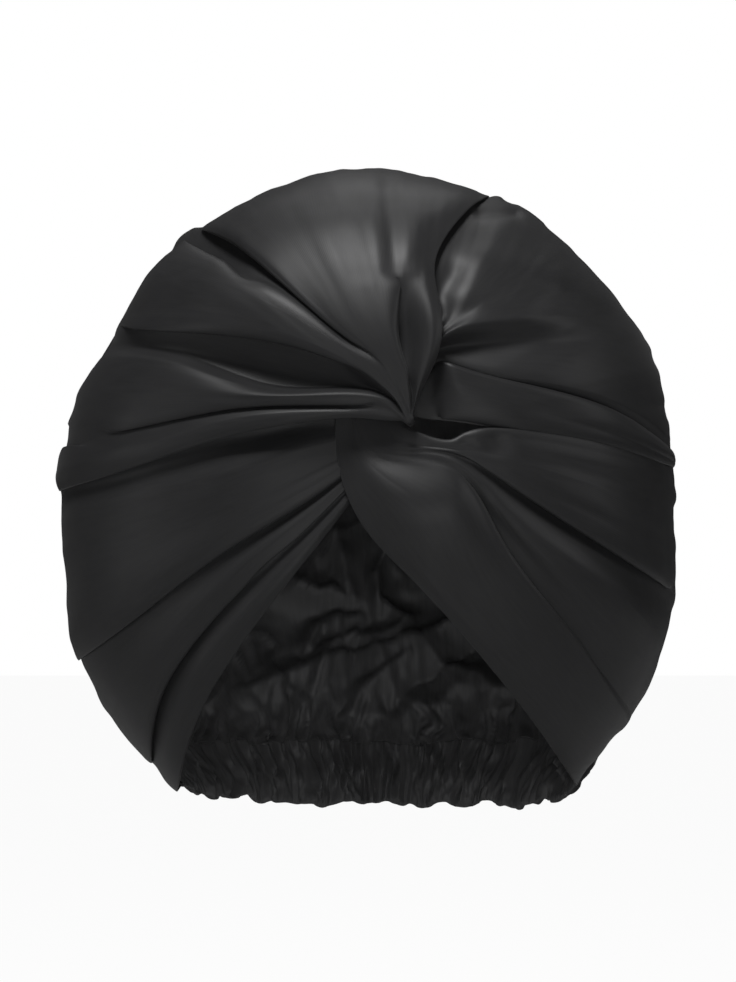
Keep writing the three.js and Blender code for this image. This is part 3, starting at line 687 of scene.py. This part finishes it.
def dome_wall(name, points, wall):
    """A closed cloth wall: the grid is its outer face, and its last row closes at a pole."""
    columns = points.shape[1]
    inner = points - grid_normals(points, True) * wall
    turn = np.arctan2(points[..., 2], points[..., 0])
    away = place_along(points[::-1])[::-1, None]
    flat = np.stack([away * np.cos(turn), away * np.sin(turn)], -1)
    index = np.arange(2 * points[..., 0].size).reshape(len(points), -1)
    outer, inside = index[:, :columns], index[:, columns:]
    edge = edge_quads(*(np.append(side[0], side[0, 0]) for side in (outer, inside)))
    quads = np.concatenate([ring_quads(outer), ring_quads(inside[:, ::-1]), edge])
    tip = index.size
    vertices = np.concatenate([points, inner], 1).reshape(-1, 3)
    vertices = np.vstack([vertices, points[-1].mean(0), inner[-1].mean(0)])
    flat = np.vstack([np.concatenate([flat, flat], 1).reshape(-1, 2), np.zeros((2, 2))])
    polygons = []
    for i in range(columns):
        j = (i + 1) % columns
        polygons += [(outer[-1, i], outer[-1, j], tip), (inside[-1, j], inside[-1, i], tip + 1)]
    return make_object(name, vertices, quads, polygons, flat)


def make_object(name, vertices, quads, polygons, flat):
    """An object in metres from points, and their places on the flat cloth, in millimetres."""
    mesh = bpy.data.meshes.new(name)
    mesh.from_pydata(((vertices + CORE) * MM).tolist(), [], [*quads.tolist(), *polygons])
    mesh.validate()
    corners = np.empty(len(mesh.loops), int)
    mesh.loops.foreach_get("vertex_index", corners)
    layer = mesh.uv_layers.new(name="Cloth")
    layer.data.foreach_set("uv", (flat.reshape(-1, 2)[corners] * MM).ravel())
    mesh.shade_smooth()
    solid = bmesh.new()
    solid.from_mesh(mesh)
    if solid.calc_volume(signed=True) < 0:
        mesh.flip_normals()
    solid.free()
    obj = bpy.data.objects.new(name, mesh)
    bpy.context.scene.collection.objects.link(obj)
    return obj


# --- back of the wrap

EDGE_REACH = rounded((SEAM_BEHIND + SEAM_GAP) / DEPTH)


def seam_angle(up, is_left):
    """The angle, left or right of the nape, where the seam stands at a height."""
    outer, inner = (200.0, 270.0) if is_left else (340.0, 270.0)
    for _ in range(40):
        middle = (outer + inner) / 2
        turn = math.radians(middle)
        if outline(turn) * EDGE_REACH * math.sin(turn) > up:
            outer = middle
        else:
            inner = middle
    return (outer + inner) / 2


def hem_across(up, shares):
    """Places across the hem at a height, closer together at both ends."""
    ends = []
    for is_left in (True, False):
        turn = math.radians(seam_angle(up, is_left))
        ends.append(outline(turn) * EDGE_REACH * math.cos(turn))
    side = np.sin((shares - 0.5) * math.pi)
    return mix(ends[0], ends[1], (side + 1) / 2), side


def dome_places(round_columns, hem_columns, rings):
    """Angle, share and reach for a dome over the back, from its edge to near its pole."""
    left, right = seam_angle(HEM, True), seam_angle(HEM, False)
    angles = np.radians(mix(right - 360, left, np.arange(round_columns) / round_columns))
    across, _ = hem_across(HEM, np.arange(hem_columns) / hem_columns)
    angles = np.append(angles, np.arctan2(HEM, across) % (2 * math.pi))
    sine = np.sin(angles)
    edge = np.where(sine < 0, HEM / (np.minimum(sine, -1e-6) * outline(angles)), 1.0)
    share = np.sin((1 - np.arange(rings) / rings) * math.pi / 2)
    share = np.append(share, share[-1] * POLE_SHARE)[:, None]
    angles = np.broadcast_to(angles, (rings + 1, len(angles)))
    return angles, share, np.minimum(EDGE_REACH, edge) * share


def dome_points(angles, reach, lift):
    """Points of the back: they lift away from the core, and levelly out from it near the hem."""
    points = body_points(np.cos(angles), np.sin(angles), reach, np.zeros_like(reach), 1.0)
    rise = points[..., 2] - HEM
    points[..., 2] += hem_wave(points[..., 0], points[..., 1]) * np.exp(-np.maximum(rise, 0) / 12)
    way = points.copy()
    way[..., 2] *= smooth(rise, 0, 70)
    return points + way * (lift / np.linalg.norm(way, axis=-1))[..., None]


def find_core():
    """The body's core in millimetres: the dome over the back is set in its node's box."""
    low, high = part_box("back_crown")
    edges = []
    for start, end, way in ((-30, 30, np.cos), (150, 210, np.cos), (60, 150, np.sin)):
        turns = np.radians(np.linspace(start, end, 2 * (end - start) + 1))
        edges.append(outline(turns) * way(turns) * EDGE_REACH)
    right, left, top = edges
    middle = (np.max(right) + np.min(left)) / 2
    low_y = low.y / MM - DEPTH * rounded(EDGE_REACH)
    return np.array([(low.x + high.x) / 2 / MM - middle, low_y, high.z / MM - np.max(top)])


CORE = find_core()
# The hem line, up from the core.
HEM = CASING_TOP + HEM_GAP - CORE[2]


# --- cloth forms


def panel_wrinkles(points, wrinkle, pucker):
    """Fine folds that run out from the twist, soft dents, and puckers along the rim seam."""
    x, y, z = np.moveaxis(points, -1, 0)
    turn = np.degrees(np.arctan2(z, x))
    away = np.hypot(x, z)
    height = sum(
        high * lumps(seed, turn / wide, away / long, y < 0) * smooth(away, start, STREAKS_FULL)
        for seed, wide, long, high, start in STREAKS
    )
    height = height + noise(points, 34, 5) * 0.9
    puckers = pucker * lumps(6, turn / 3.0) * smooth(y, -35, 0)
    return (wrinkle * height + puckers) * (1 - smooth(y, 2, 7))


def panel_points(upper, lower, turn_rings, marks, columns, wrinkle, pucker):
    """A front panel as one sheet, from its upper rim through the twist to its lower rim."""
    top, bottom = (
        fan_points(fan, FAN_ROWS[len(fan[0][3])], columns // (len(fan) - 1))
        for fan in (upper, lower)
    )
    bottom = bottom[:, ::-1]
    between = turn_rings(top, bottom)
    points = np.concatenate([top[::-1], between, bottom])
    height = panel_wrinkles(points, wrinkle, pucker)
    for start, end, high, width in marks:
        away = segment_distance(points[..., 0], points[..., 2], start, end) / width
        height = height + high * np.exp(-(away**2)) * (points[..., 1] < 0)
    free = np.repeat([1, 0, 1], [len(top), len(between), len(bottom)])
    return outwards(points, height * free[:, None])


def right_turn(top, bottom):
    """The hairpin where the right panel turns back round the neck of the left one."""
    side = (top[0] + bottom[0]) / 2 + np.array(HAIRPIN)
    rings = [top[1], top[0], side, bottom[0], bottom[1]]
    return along(rings, np.linspace(1, 3, HAIRPIN_ROWS))[1:-1]


def hem_gathers(across, rise, sets):
    """Pleats that rise from a gathered hem, each with its own place, height, lean and length."""
    total = 0.0
    away = np.where(rise > 0, rise, -rise / 4)
    for shift, count, seed, length, width, height, spread in sets:
        part = np.zeros_like(across)
        for k in range(count):
            draw = lattice(np.full(5, k), np.arange(5), np.zeros(5, int), seed)
            place, longer, wider, lean, higher = PLEAT_VARIES * draw
            centre = (k + 0.5 + place) / count * HEM_LENGTH - HEM_LENGTH / 2
            wide = width * (1 + wider) * (1 + away / spread)
            middle = centre * (1 + rise / PLEAT_FAN) + lean * rise
            high = height * (1 + higher) * np.exp(-((away / (length * (1 + longer))) ** 2))
            part += high * np.exp(-(((across + shift - middle) / wide) ** 2))
        total = total + part
    return total


def inner_gathers(x, y, rise):
    """Gathers of the lining at the hem, which run on over the casing."""
    bent = x + 3.4 * lumps(52, x / 12, rise / 9)
    bent = bent + 1.2 * lumps(53, x / 5, rise / 4)
    return hem_gathers(bent, rise, LINING_PLEATS) * smooth(y, 10, 40)


def crown_lift(points, pleat, pucker):
    """Gathers over the nape, soft folds over the dome, and the seam's roll at its edge."""
    x, y, z = np.moveaxis(points, -1, 0)
    rise = z - HEM
    behind = y - SEAM_BEHIND - SEAM_GAP
    near = smooth(y, 20, 60)
    gathers = hem_gathers(x, rise, NAPE_PLEATS) * near
    gathers = gathers + hem_gathers(x, rise, DRAPES) * smooth(y, 15, 70) * smooth(rise, -1, 25)
    gathers = gathers - 1.2 * np.exp(-np.maximum(rise, 0) / 30) * near
    soft = sum(
        high * noise(points * np.array([1, 1, flatter]), size, seed)
        for seed, size, flatter, high in CROWN_SWELLS
    )
    edge = np.maximum(1 - smooth(behind, 0, 12), 0.7 - 0.7 * smooth(rise, 0, 15))
    puckers = pucker * lumps(14, np.degrees(np.arctan2(z, x)) / 2.6)
    puckers = puckers * (1 - smooth(behind, 0, 30)) * smooth(behind, 0, 5)
    roll = -1.6 * (1 - smooth(behind, 0, 3.5))
    return pleat * gathers + soft * (1 - edge) + puckers + roll


def waves(sets, x):
    """Layers of noise along a line: seed, size and height of each."""
    return sum(high * lumps(seed, x / size) for seed, size, high in sets)


def hem_wave(x, y):
    """How the hem line rises and falls along the nape."""
    return waves(HEM_WAVES, x) * smooth(y, 20, 45)


def segment_distance(x, z, start, end):
    """Distance from a line between two places."""
    across, up = np.subtract(end, start)
    x, z = x - start[0], z - start[1]
    t = np.clip((x * across + z * up) / (across**2 + up**2), 0, 1)
    return np.hypot(x - t * across, z - t * up)


def ridged(points, size, seed):
    """Sharp ridges between soft hollows, from 0 to 1."""
    warp = np.stack([noise(points, size * 1.3, seed + k) for k in (1, 2, 3)], -1) * size * 0.45
    return (1 - np.abs(noise(points + warp, size, seed))) ** 2


def crest_lift(x, z, path, height, right, left):
    """The lift of one crest: it falls off over its own width on its right and on its left."""
    nearest, width = np.full(x.shape, np.inf), np.ones(x.shape)
    for start, end in zip(path, path[1:]):
        away = segment_distance(x, z, start, end)
        side = (end[0] - start[0]) * (z - start[1]) - (end[1] - start[1]) * (x - start[0])
        width = np.where(away < nearest, np.where(side < 0, right, left), width)
        nearest = np.minimum(nearest, away)
    return height * np.exp(-((np.hypot(nearest, CREST_ROUND) / width) ** CREST_FALL))


def lining_crumples(points, share):
    """How far the lining stands into the hollow at each place."""
    x, z = points[..., 0], points[..., 2]
    bent_x, bent_z = x + noise(points, 13, 41) * 1.6, z + noise(points, 11, 42) * 1.6
    ups, downs = np.zeros_like(x), np.zeros_like(x)
    for path, height, right, left in CRUMPLES:
        lift = crest_lift(bent_x, bent_z, path, height * CRUMPLE_SCALE, right, left)
        ups, downs = np.maximum(ups, lift), np.minimum(downs, lift)
    loose = sum(high * ridged(points, size, seed) for seed, size, high in LINING_RIDGES)
    loose = loose * mix(0.5, 1.0, smooth(-z, 30, 80))
    gathers = inner_gathers(x, points[..., 1], z - HEM)
    return (ups + downs + loose) * (1 - smooth(share, 0.8, 1.0)) + gathers


def casing_section(around):
    """Places round the tube: above the hem, below it, and from the inner face to the outer."""
    below = np.sin(np.linspace(0, math.pi / 2, around // 2 - 3))[1:]
    below = np.concatenate([[0, 0, 0, 0, 0.004, 0.01], below])
    above = np.zeros_like(below)
    above[:3] = 1, 0.9, 0.5
    face = np.minimum(1, (1 - above) * 3) ** 0.5
    face = face * (1 - np.clip(below * 2 - 1, 0, 1) ** 2.5) ** 0.4
    parts = ((above, above), (below, below), (face, -face))
    return [np.append(there, back[-2:0:-1])[None, :] for there, back in parts]


def casing_grid(columns, around, count, pleat, wall):
    """The gathered tube over the elastic: rows follow the hem, and columns go round the tube."""
    shares = np.arange(columns + 1) / columns
    top_across, side = hem_across(HEM, shares)
    low_across, _ = hem_across(HEM_BOTTOM + HEM_END_RISE - CORE[2], shares)
    low_across = mix(low_across, top_across, CASING_NARROWS)
    up = np.full_like(top_across, HEM)
    reach = np.minimum(reach_of(top_across, up), EDGE_REACH)
    path = body_points(top_across, up, reach, np.zeros_like(up), 1.0)
    hem_out = crown_lift(path, pleat, 0)[:, None]
    arc = np.concatenate([[0], np.cumsum(np.hypot(np.diff(path[:, 0]), np.diff(path[:, 1])))])
    low_y = path[:, 1] - CASING_LEAN * smooth(path[:, 1], 25, 60) + 2.0 * lumps(30, arc / 16)
    low_z = HEM_BOTTOM + HEM_END_RISE * (side - HEM_LOW_SIDE) ** 2 + waves(CASING_WAVES, arc)
    low_z += CASING_END_RISE * (1 - smooth(np.minimum(arc, arc[-1] - arc), 0, CASING_END))
    above, below, face = casing_section(around)
    fall = np.broadcast_to(below, (len(arc), below.shape[1]))
    top_z = HEM + CORE[2] + hem_wave(path[:, :1], path[:, 1:2])
    x = mix(path[:, :1], low_across[:, None], fall)
    y = mix(path[:, 1:2], low_y[:, None], fall)
    z = mix(top_z, low_z[:, None], fall) + above * CASING_TUCK
    normal = unit(path * np.array([1, 1, 0]))
    s = np.broadcast_to(arc[:, None], z.shape)

    def folds(face_of):
        """Gathers of one face, drawn in where the elastic lies."""

        def field(seed, size, rows):
            return lumps(seed, s / size, fall * rows, face_of)

        phase = math.pi * count * s / arc[-1] + 3.2 * field(33, 8, 3.4) + face_of
        high = np.abs(np.sin(phase)) ** 0.8 * (0.85 + 0.75 * field(34, 7, 1.2))
        return (high * 1.9 + 1.1 * field(35, 13, 1.4)) * elastic * smooth(fall, 0.05, 0.5)

    middle, wide, draw = ELASTIC
    elastic = 1 - draw * np.exp(-(((fall - middle) / wide) ** 2))
    tucked = np.where(fall > 0, 1.0, 0.0)
    within = inner_gathers(x, y, np.minimum(z - top_z, 0)) * mix(1.0, 0.5, fall)
    level = mix(hem_out, -1.6, smooth(fall, 0, 0.7))
    outer = level - (wall + 0.1) * (1 - tucked) + folds(1.7)
    inner = np.minimum(level, INNER_TOP) - wall - LINING_GAP - LINING_WALL * tucked
    inner = inner + 0.1 * (1 - tucked) - within - folds(0.0)
    middle, half = (outer + inner) / 2, np.maximum((outer - inner) / 2, 0.3)
    offset = (middle + half * face)[..., None] * normal[:, None, :]
    return np.stack([x, y, z - CORE[2]], -1) + offset


# --- materials

# The mesh attribute that is 1 on the inner face of the casing and 0 on its outer face, and
# where the one gives way to the other, as shares of the way round the tube. The inner face
# takes the lining colour, painted lighter as fill light in the shaded hollow.
PAINTED_FILL_FACE = "Inside"
INSIDE_FROM = (0.47, 0.53)
# Sizes of the weave in metres: one thread, one patch of gloss, and the relief.
THREAD = 0.0004
PATCH = 0.02
WEAVE_DEPTH = 0.00003
# Tones of the darkest and the lightest threads, and how the gloss varies and dulls.
DARK_THREAD, LIGHT_THREAD = 0.8, 1.25
GLOSS_SPREAD = 0.06
CASING_DULLER = 0.03
SHEEN = 0.05
WHITE = (1, 1, 1, 1)


def feed(tree, made, inputs):
    """Gives a node's inputs their values, or links from sockets or from nodes' first outputs."""
    for key, value in dict(inputs).items():
        if isinstance(value, bpy.types.Node):
            value = value.outputs[0]
        if isinstance(value, bpy.types.NodeSocket):
            tree.links.new(value, made.inputs[key])
        else:
            made.inputs[key].default_value = value
    return made


def node(tree, kind, inputs=(), **sets):
    """A new shader node, or an end of a group, with its settings and inputs."""
    made = tree.nodes.new(kind if kind.startswith("Node") else "ShaderNode" + kind)
    for key, value in sets.items():
        setattr(made, key, value)
    return feed(tree, made, inputs)


def weave_group():
    """Thread lines, slubs and soft patches of a satin weave, as a height, a tone and a gloss."""
    name = "satin weave"
    if name in bpy.data.node_groups:
        return bpy.data.node_groups[name]
    group = bpy.data.node_groups.new(name, "ShaderNodeTree")
    for label, default in (("Thread", THREAD), ("Slub", 0.5), ("Patch", PATCH)):
        made = group.interface.new_socket(label, in_out="INPUT", socket_type="NodeSocketFloat")
        made.default_value = default
    for label in ("Height", "Tone", "Gloss"):
        group.interface.new_socket(label, in_out="OUTPUT", socket_type="NodeSocketFloat")
    given = node(group, "NodeGroupInput").outputs
    cloth = node(group, "UVMap", uv_map="Cloth")
    count = node(group, "Math", {0: 1.0, 1: given["Thread"]}, operation="DIVIDE")
    spread = node(group, "VectorMath", {0: cloth, "Scale": count}, operation="SCALE")
    bands = {"Scale": 0.314, "Distortion": 0.4, "Vector": spread}
    thread = node(group, "TexWave", bands, wave_type="BANDS", bands_direction="X")
    stretch = node(group, "Mapping", {"Scale": (0.35, 0.03, 1), "Vector": spread})
    slub = node(group, "TexNoise", {"Scale": 1.0, "Detail": 2.0, "Vector": stretch})
    body = node(group, "TexCoord").outputs["Object"]
    size = node(group, "Math", {0: 1.0, 1: given["Patch"]}, operation="DIVIDE")
    patch = node(group, "TexNoise", {"Detail": 3.0, "Vector": body, "Scale": size})
    parts = {0: slub, 1: given["Slub"], 2: thread.outputs["Fac"]}
    height = node(group, "Math", parts, operation="MULTIPLY_ADD")
    node(group, "NodeGroupOutput", {"Height": height, "Tone": slub, "Gloss": patch})
    return group


def satin(name, colour, rough, outside=None):
    """A black satin: woven height, tone that varies with its threads, and patches of gloss.

    A piece that shows both faces of its cloth has a second colour for its outside; its inside
    keeps the first colour, which for the lining is painted lighter as fill light in the hollow.
    """
    made = bpy.data.materials.get(name)
    if made:
        return made
    made = bpy.data.materials.new(name)
    made.use_nodes = True
    tree = made.node_tree
    weave = node(tree, "Group", node_tree=weave_group()).outputs

    def mixed(factor, a, b):
        sides = {"Factor": factor, "A": a, "B": b}
        return node(tree, "Mix", sides, data_type="RGBA").outputs["Result"]

    def toned(colour):
        shades = [(*[c * tone for c in colour], 1) for tone in (DARK_THREAD, LIGHT_THREAD)]
        return mixed(weave["Tone"], *shades)

    cloth = toned(colour)
    if outside is not None:
        face = node(tree, "Attribute", attribute_name=PAINTED_FILL_FACE)
        cloth = mixed(face.outputs["Fac"], toned(outside), cloth)
    ends = {"To Min": rough - GLOSS_SPREAD, "To Max": rough + GLOSS_SPREAD}
    gloss = node(tree, "MapRange", {"Value": weave["Gloss"], **ends})
    relief = {"Strength": 0.35, "Distance": WEAVE_DEPTH, "Height": weave["Height"]}
    bump = node(tree, "Bump", relief)
    sheen = {"Specular IOR Level": 0.4, "Sheen Weight": SHEEN, "Sheen Roughness": 0.4}
    given = {"Base Color": cloth, "Roughness": gloss, "Normal": bump, **sheen}
    feed(tree, tree.nodes["Principled BSDF"], given)
    return made


# --- settings


class WrapCloth(bpy.types.PropertyGroup):
    """Sizes of the cloth and its folds, in millimetres."""

    wall: FloatProperty(
        name="Cloth", description="Thickness of the doubled satin, in millimetres", default=0.9,
        min=0.3, max=2,
    )
    wrinkle: FloatProperty(
        name="Wrinkles", description="Strength of the fine folds of the front", default=1.0,
        min=0, max=3,
    )
    pucker: FloatProperty(
        name="Puckers", description="Height of the puckers along the rim seam, in millimetres",
        default=0.9, min=0, max=2,
    )
    pleat: FloatProperty(
        name="Nape pleats", description="Strength of the pleats over the nape", default=1.0,
        min=0, max=2,
    )
    waves: IntProperty(
        name="Casing gathers", description="Gathers along the elastic casing", default=52,
        min=10, max=120,
    )


class WrapColours(bpy.types.PropertyGroup):
    """Colours and finish of the satin."""

    outer: FloatVectorProperty(
        name="Outer satin", description="Colour of the outer satin", subtype="COLOR",
        default=(0.023, 0.023, 0.024), min=0, max=1,
    )
    # The lining's colour is the black satin painted much lighter than the outer satin, as painted
    # fill light in the shaded hollow.
    lining: FloatVectorProperty(
        name="Lining satin", description="Colour of the lining", subtype="COLOR",
        default=(0.09, 0.09, 0.092), min=0, max=1,
    )
    rough: FloatProperty(
        name="Roughness", description="Roughness of the satin", subtype="FACTOR", default=0.48,
        min=0, max=1,
    )


class WrapStage(bpy.types.PropertyGroup):
    """Floor, lights and camera."""

    floor: FloatVectorProperty(
        name="Floor", description="Colour of the floor", subtype="COLOR",
        default=(0.5, 0.5, 0.5), min=0, max=1,
    )
    distance: FloatProperty(
        name="Camera distance", description="Camera distance from the twist's plane",
        unit="LENGTH", default=3.0, min=0.3, max=5,
    )
    view_height: FloatProperty(
        name="View height", description="Height of the view at the wrap", unit="LENGTH",
        default=0.4296, min=0.1, max=3,
    )
    fill: FloatProperty(
        name="Fill", description="Brightness of the light from all round", default=0.02, min=0,
        max=2,
    )


# --- building


def finish_piece(obj, material, node_name):
    """Gives a piece its cloth and its place in the frame."""
    obj.data.materials.clear()
    obj.data.materials.append(material)
    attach(obj, "root")
    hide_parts(node_name)


def outer_satin(colours):
    return satin("outer satin", colours.outer, colours.rough)


class HAIRWRAP_OT_front_panels(bpy.types.Operator):
    """Builds the two front panels, folded into fans and looped through each other"""

    bl_idname = "hairwrap.front_panels"
    bl_label = "Front Panels"

    def execute(self, context):
        cloth, colours = context.scene.wrap_cloth, context.scene.wrap_colours
        panels = (
            ("left_wrap_panel", from_knot(LEFT_UPPER), LEFT_LOWER, neck_rings, LEFT_MARKS, 240),
            ("right_wrap_panel", RIGHT_UPPER, RIGHT_LOWER, right_turn, RIGHT_MARKS, 220),
        )
        for (name, *shape), flat in zip(panels, ((0.30, 0.26), (0.27, 0.23))):
            points = panel_points(*shape, cloth.wrinkle, cloth.pucker)
            obj = panel_wall("satin_" + name, points, cloth.wall)
            finish_piece(obj, outer_satin(colours), name)
        return {"FINISHED"}


class HAIRWRAP_OT_back_crown(bpy.types.Operator):
    """Builds the outer back, gathered into the nape hem"""

    bl_idname = "hairwrap.back_crown"
    bl_label = "Back Crown"

    def execute(self, context):
        cloth, colours = context.scene.wrap_cloth, context.scene.wrap_colours
        angles, _, reach = dome_places(*CROWN_GRID)
        lift = crown_lift(dome_points(angles, reach, 0.0), cloth.pleat, cloth.pucker)
        obj = dome_wall("satin_back_crown", dome_points(angles, reach, lift), cloth.wall)
        finish_piece(obj, outer_satin(colours), "back_crown")
        return {"FINISHED"}


class HAIRWRAP_OT_back_lining(bpy.types.Operator):
    """Builds the crumpled lining of the back"""

    bl_idname = "hairwrap.back_lining"
    bl_label = "Back Lining"

    def execute(self, context):
        cloth, colours = context.scene.wrap_cloth, context.scene.wrap_colours
        angles, share, reach = dome_places(*LINING_GRID)
        base = dome_points(angles, reach, 0.0)
        outer = np.minimum(crown_lift(base, cloth.pleat, 0), INNER_TOP)
        lift = outer - cloth.wall - LINING_GAP - lining_crumples(base, share)
        obj = dome_wall("satin_back_lining", dome_points(angles, reach, lift), LINING_WALL)
        # The lining takes the lining colour, painted lighter as fill light in the shaded hollow.
        material = satin("lining satin painted lighter", colours.lining, colours.rough)
        finish_piece(obj, material, "back_lining")
        return {"FINISHED"}


class HAIRWRAP_OT_nape_casing(bpy.types.Operator):
    """Builds the gathered casing over the elastic"""

    bl_idname = "hairwrap.nape_casing"
    bl_label = "Nape Casing"

    def execute(self, context):
        cloth, colours = context.scene.wrap_cloth, context.scene.wrap_colours
        points = casing_grid(*CASING_GRID, cloth.waves, cloth.pleat, cloth.wall)
        obj = tube_mesh("satin_nape_casing", points)
        # The inner face of the casing takes the lining colour, painted lighter as fill light; the
        # outer face takes the outer satin.
        rows, round_it = points.shape[:2]
        inside = smooth(np.arange(round_it) / round_it, *INSIDE_FROM)
        values = obj.data.attributes.new(PAINTED_FILL_FACE, "FLOAT", "POINT").data
        values.foreach_set("value", np.tile(inside, rows))
        rough = colours.rough + CASING_DULLER
        material = satin("gathered satin painted lighter inside", colours.lining, rough, colours.outer)
        finish_piece(obj, material, "nape_casing")
        return {"FINISHED"}


def tube_mesh(name, points):
    """A closed tube: each row of the grid is one loop round it, and its ends are capped."""
    rows, columns = points.shape[:2]
    index = np.arange(rows * columns).reshape(rows, columns)
    around = place_along(points.transpose(1, 0, 2))
    near = np.minimum(np.arange(columns), columns - np.arange(columns))
    flat = np.stack(np.meshgrid(place_along(points), around[near], indexing="ij"), -1)
    caps = [tuple(index[0, ::-1]), tuple(index[-1])]
    return make_object(name, points.reshape(-1, 3), ring_quads(index), caps, flat)


# Floor in metres, and how brightly and how fully it glows to the camera.
FLOOR_SIDE = 12.0
FLOOR_DROP = 0.1
FLOOR_GLOW = 1.03
FLOOR_GLOW_SHARE = 0.93
# The camera's sensor in millimetres, and how far below the twist it looks, in metres.
SENSOR = 36
AIM_DROP = 0.0286

# Studio lights: name, angle from the front and height in degrees, distance and size in metres,
# power in watts.
LIGHTS = (
    ("key", -20, 64, 1.3, 0.4, 11.0),
    ("low", 5, -11, 0.8, 0.45, 1.0),
    ("left", -76, 6, 1.3, 0.6, 1.1),
    ("right", 73, 24, 1.3, 0.6, 1.6),
    ("back", 176, 62, 1.3, 0.7, 2.2),
)


def add_area(aim, name, azimuth, elevation, distance, size, power):
    """A square light that faces the aim."""
    data = bpy.data.lights.new(name, "AREA")
    data.shape = "SQUARE"
    data.size = size
    data.energy = power
    obj = bpy.data.objects.new(name, data)
    bpy.context.scene.collection.objects.link(obj)
    a, e = math.radians(azimuth), math.radians(elevation)
    away = Vector((math.sin(a) * math.cos(e), -math.cos(a) * math.cos(e), math.sin(e)))
    obj.location = aim + away * distance
    obj.rotation_mode = "QUATERNION"
    obj.rotation_quaternion = away.to_track_quat("Z", "Y")


class HAIRWRAP_OT_stage(bpy.types.Operator):
    """Builds the floor, the studio light and the camera"""

    bl_idname = "hairwrap.stage"
    bl_label = "Stage"

    def execute(self, context):
        scene, settings = context.scene, context.scene.wrap_stage
        scene.view_settings.view_transform = "Standard"
        low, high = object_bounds()
        floor = bpy.data.meshes.new("floor")
        side, level = FLOOR_SIDE / 2, low.z - FLOOR_DROP
        ends = ((-side, -side), (side, -side), (side, side), (-side, side))
        corners = [(*end, level) for end in ends]
        floor.from_pydata(corners, [], [(0, 1, 2, 3)])
        floor.materials.append(floor_material(settings.floor))
        ground = bpy.data.objects.new("floor", floor)
        scene.collection.objects.link(ground)
        ground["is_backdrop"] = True
        world_light(settings.fill)
        for light in LIGHTS:
            add_area((low + high) / 2, *light)
        data = bpy.data.cameras.new("camera")
        data.sensor_fit = "AUTO"
        data.sensor_width = SENSOR
        data.lens = SENSOR * settings.distance / settings.view_height
        camera = bpy.data.objects.new("camera", data)
        scene.collection.objects.link(camera)
        core = CORE * MM
        camera.location = (0.0, core[1] - settings.distance, core[2] - AIM_DROP)
        camera.rotation_euler = (math.pi / 2, 0, 0)
        scene.camera = camera
        return {"FINISHED"}


def camera_tree(block):
    """The cleared nodes of a material or world, and what tells the camera's rays from others."""
    block.use_nodes = True
    block.node_tree.nodes.clear()
    return block.node_tree, node(block.node_tree, "LightPath").outputs["Is Camera Ray"]


def floor_material(colour):
    """Matte to the light and almost white to the camera."""
    made = bpy.data.materials.new("floor")
    tree, seen = camera_tree(made)
    matte = node(tree, "BsdfDiffuse", {"Color": (*colour, 1)})
    glow = node(tree, "Emission", {"Color": WHITE, "Strength": FLOOR_GLOW})
    share = node(tree, "Math", {0: seen, 1: FLOOR_GLOW_SHARE}, operation="MULTIPLY")
    both = node(tree, "MixShader", {0: share, 1: matte, 2: glow})
    node(tree, "OutputMaterial", {"Surface": both})
    return made


def world_light(fill):
    """White to the camera, with a weak even light on the wrap."""
    world = bpy.context.scene.world = bpy.data.worlds.new("studio")
    tree, seen = camera_tree(world)
    tones = {"Factor": seen, "A": (fill, fill, fill, 1), "B": WHITE}
    tone = node(tree, "Mix", tones, data_type="RGBA").outputs["Result"]
    back = node(tree, "Background", {"Color": tone})
    node(tree, "OutputWorld", {"Surface": back})


class HAIRWRAP_PT_panel(bpy.types.Panel):
    """Lists the wrap's settings and pieces"""

    bl_label = "Hair Wrap"
    bl_idname = "HAIRWRAP_PT_panel"
    bl_space_type = "VIEW_3D"
    bl_region_type = "UI"
    bl_category = "Hair Wrap"

    def draw(self, context):
        for group in SETTINGS:
            box = self.layout.box()
            settings = getattr(context.scene, group)
            for key in settings.__annotations__:
                box.prop(settings, key)
        for operator in OPERATORS:
            self.layout.operator(operator.bl_idname)


SETTINGS = {"wrap_cloth": WrapCloth, "wrap_colours": WrapColours, "wrap_stage": WrapStage}
OPERATORS = (
    HAIRWRAP_OT_front_panels,
    HAIRWRAP_OT_back_crown,
    HAIRWRAP_OT_back_lining,
    HAIRWRAP_OT_nape_casing,
    HAIRWRAP_OT_stage,
)


def register():
    for kind in (*SETTINGS.values(), *OPERATORS, HAIRWRAP_PT_panel):
        bpy.utils.register_class(kind)
    for name, kind in SETTINGS.items():
        setattr(bpy.types.Scene, name, PointerProperty(type=kind))


def unregister():
    for name in SETTINGS:
        delattr(bpy.types.Scene, name)
    for kind in (HAIRWRAP_PT_panel, *reversed(OPERATORS), *reversed(SETTINGS.values())):
        bpy.utils.unregister_class(kind)


def main():
    register()
    for operator in OPERATORS:
        family, name = operator.bl_idname.split(".")
        getattr(getattr(bpy.ops, family), name)()


if __name__ == "__main__":
    main()
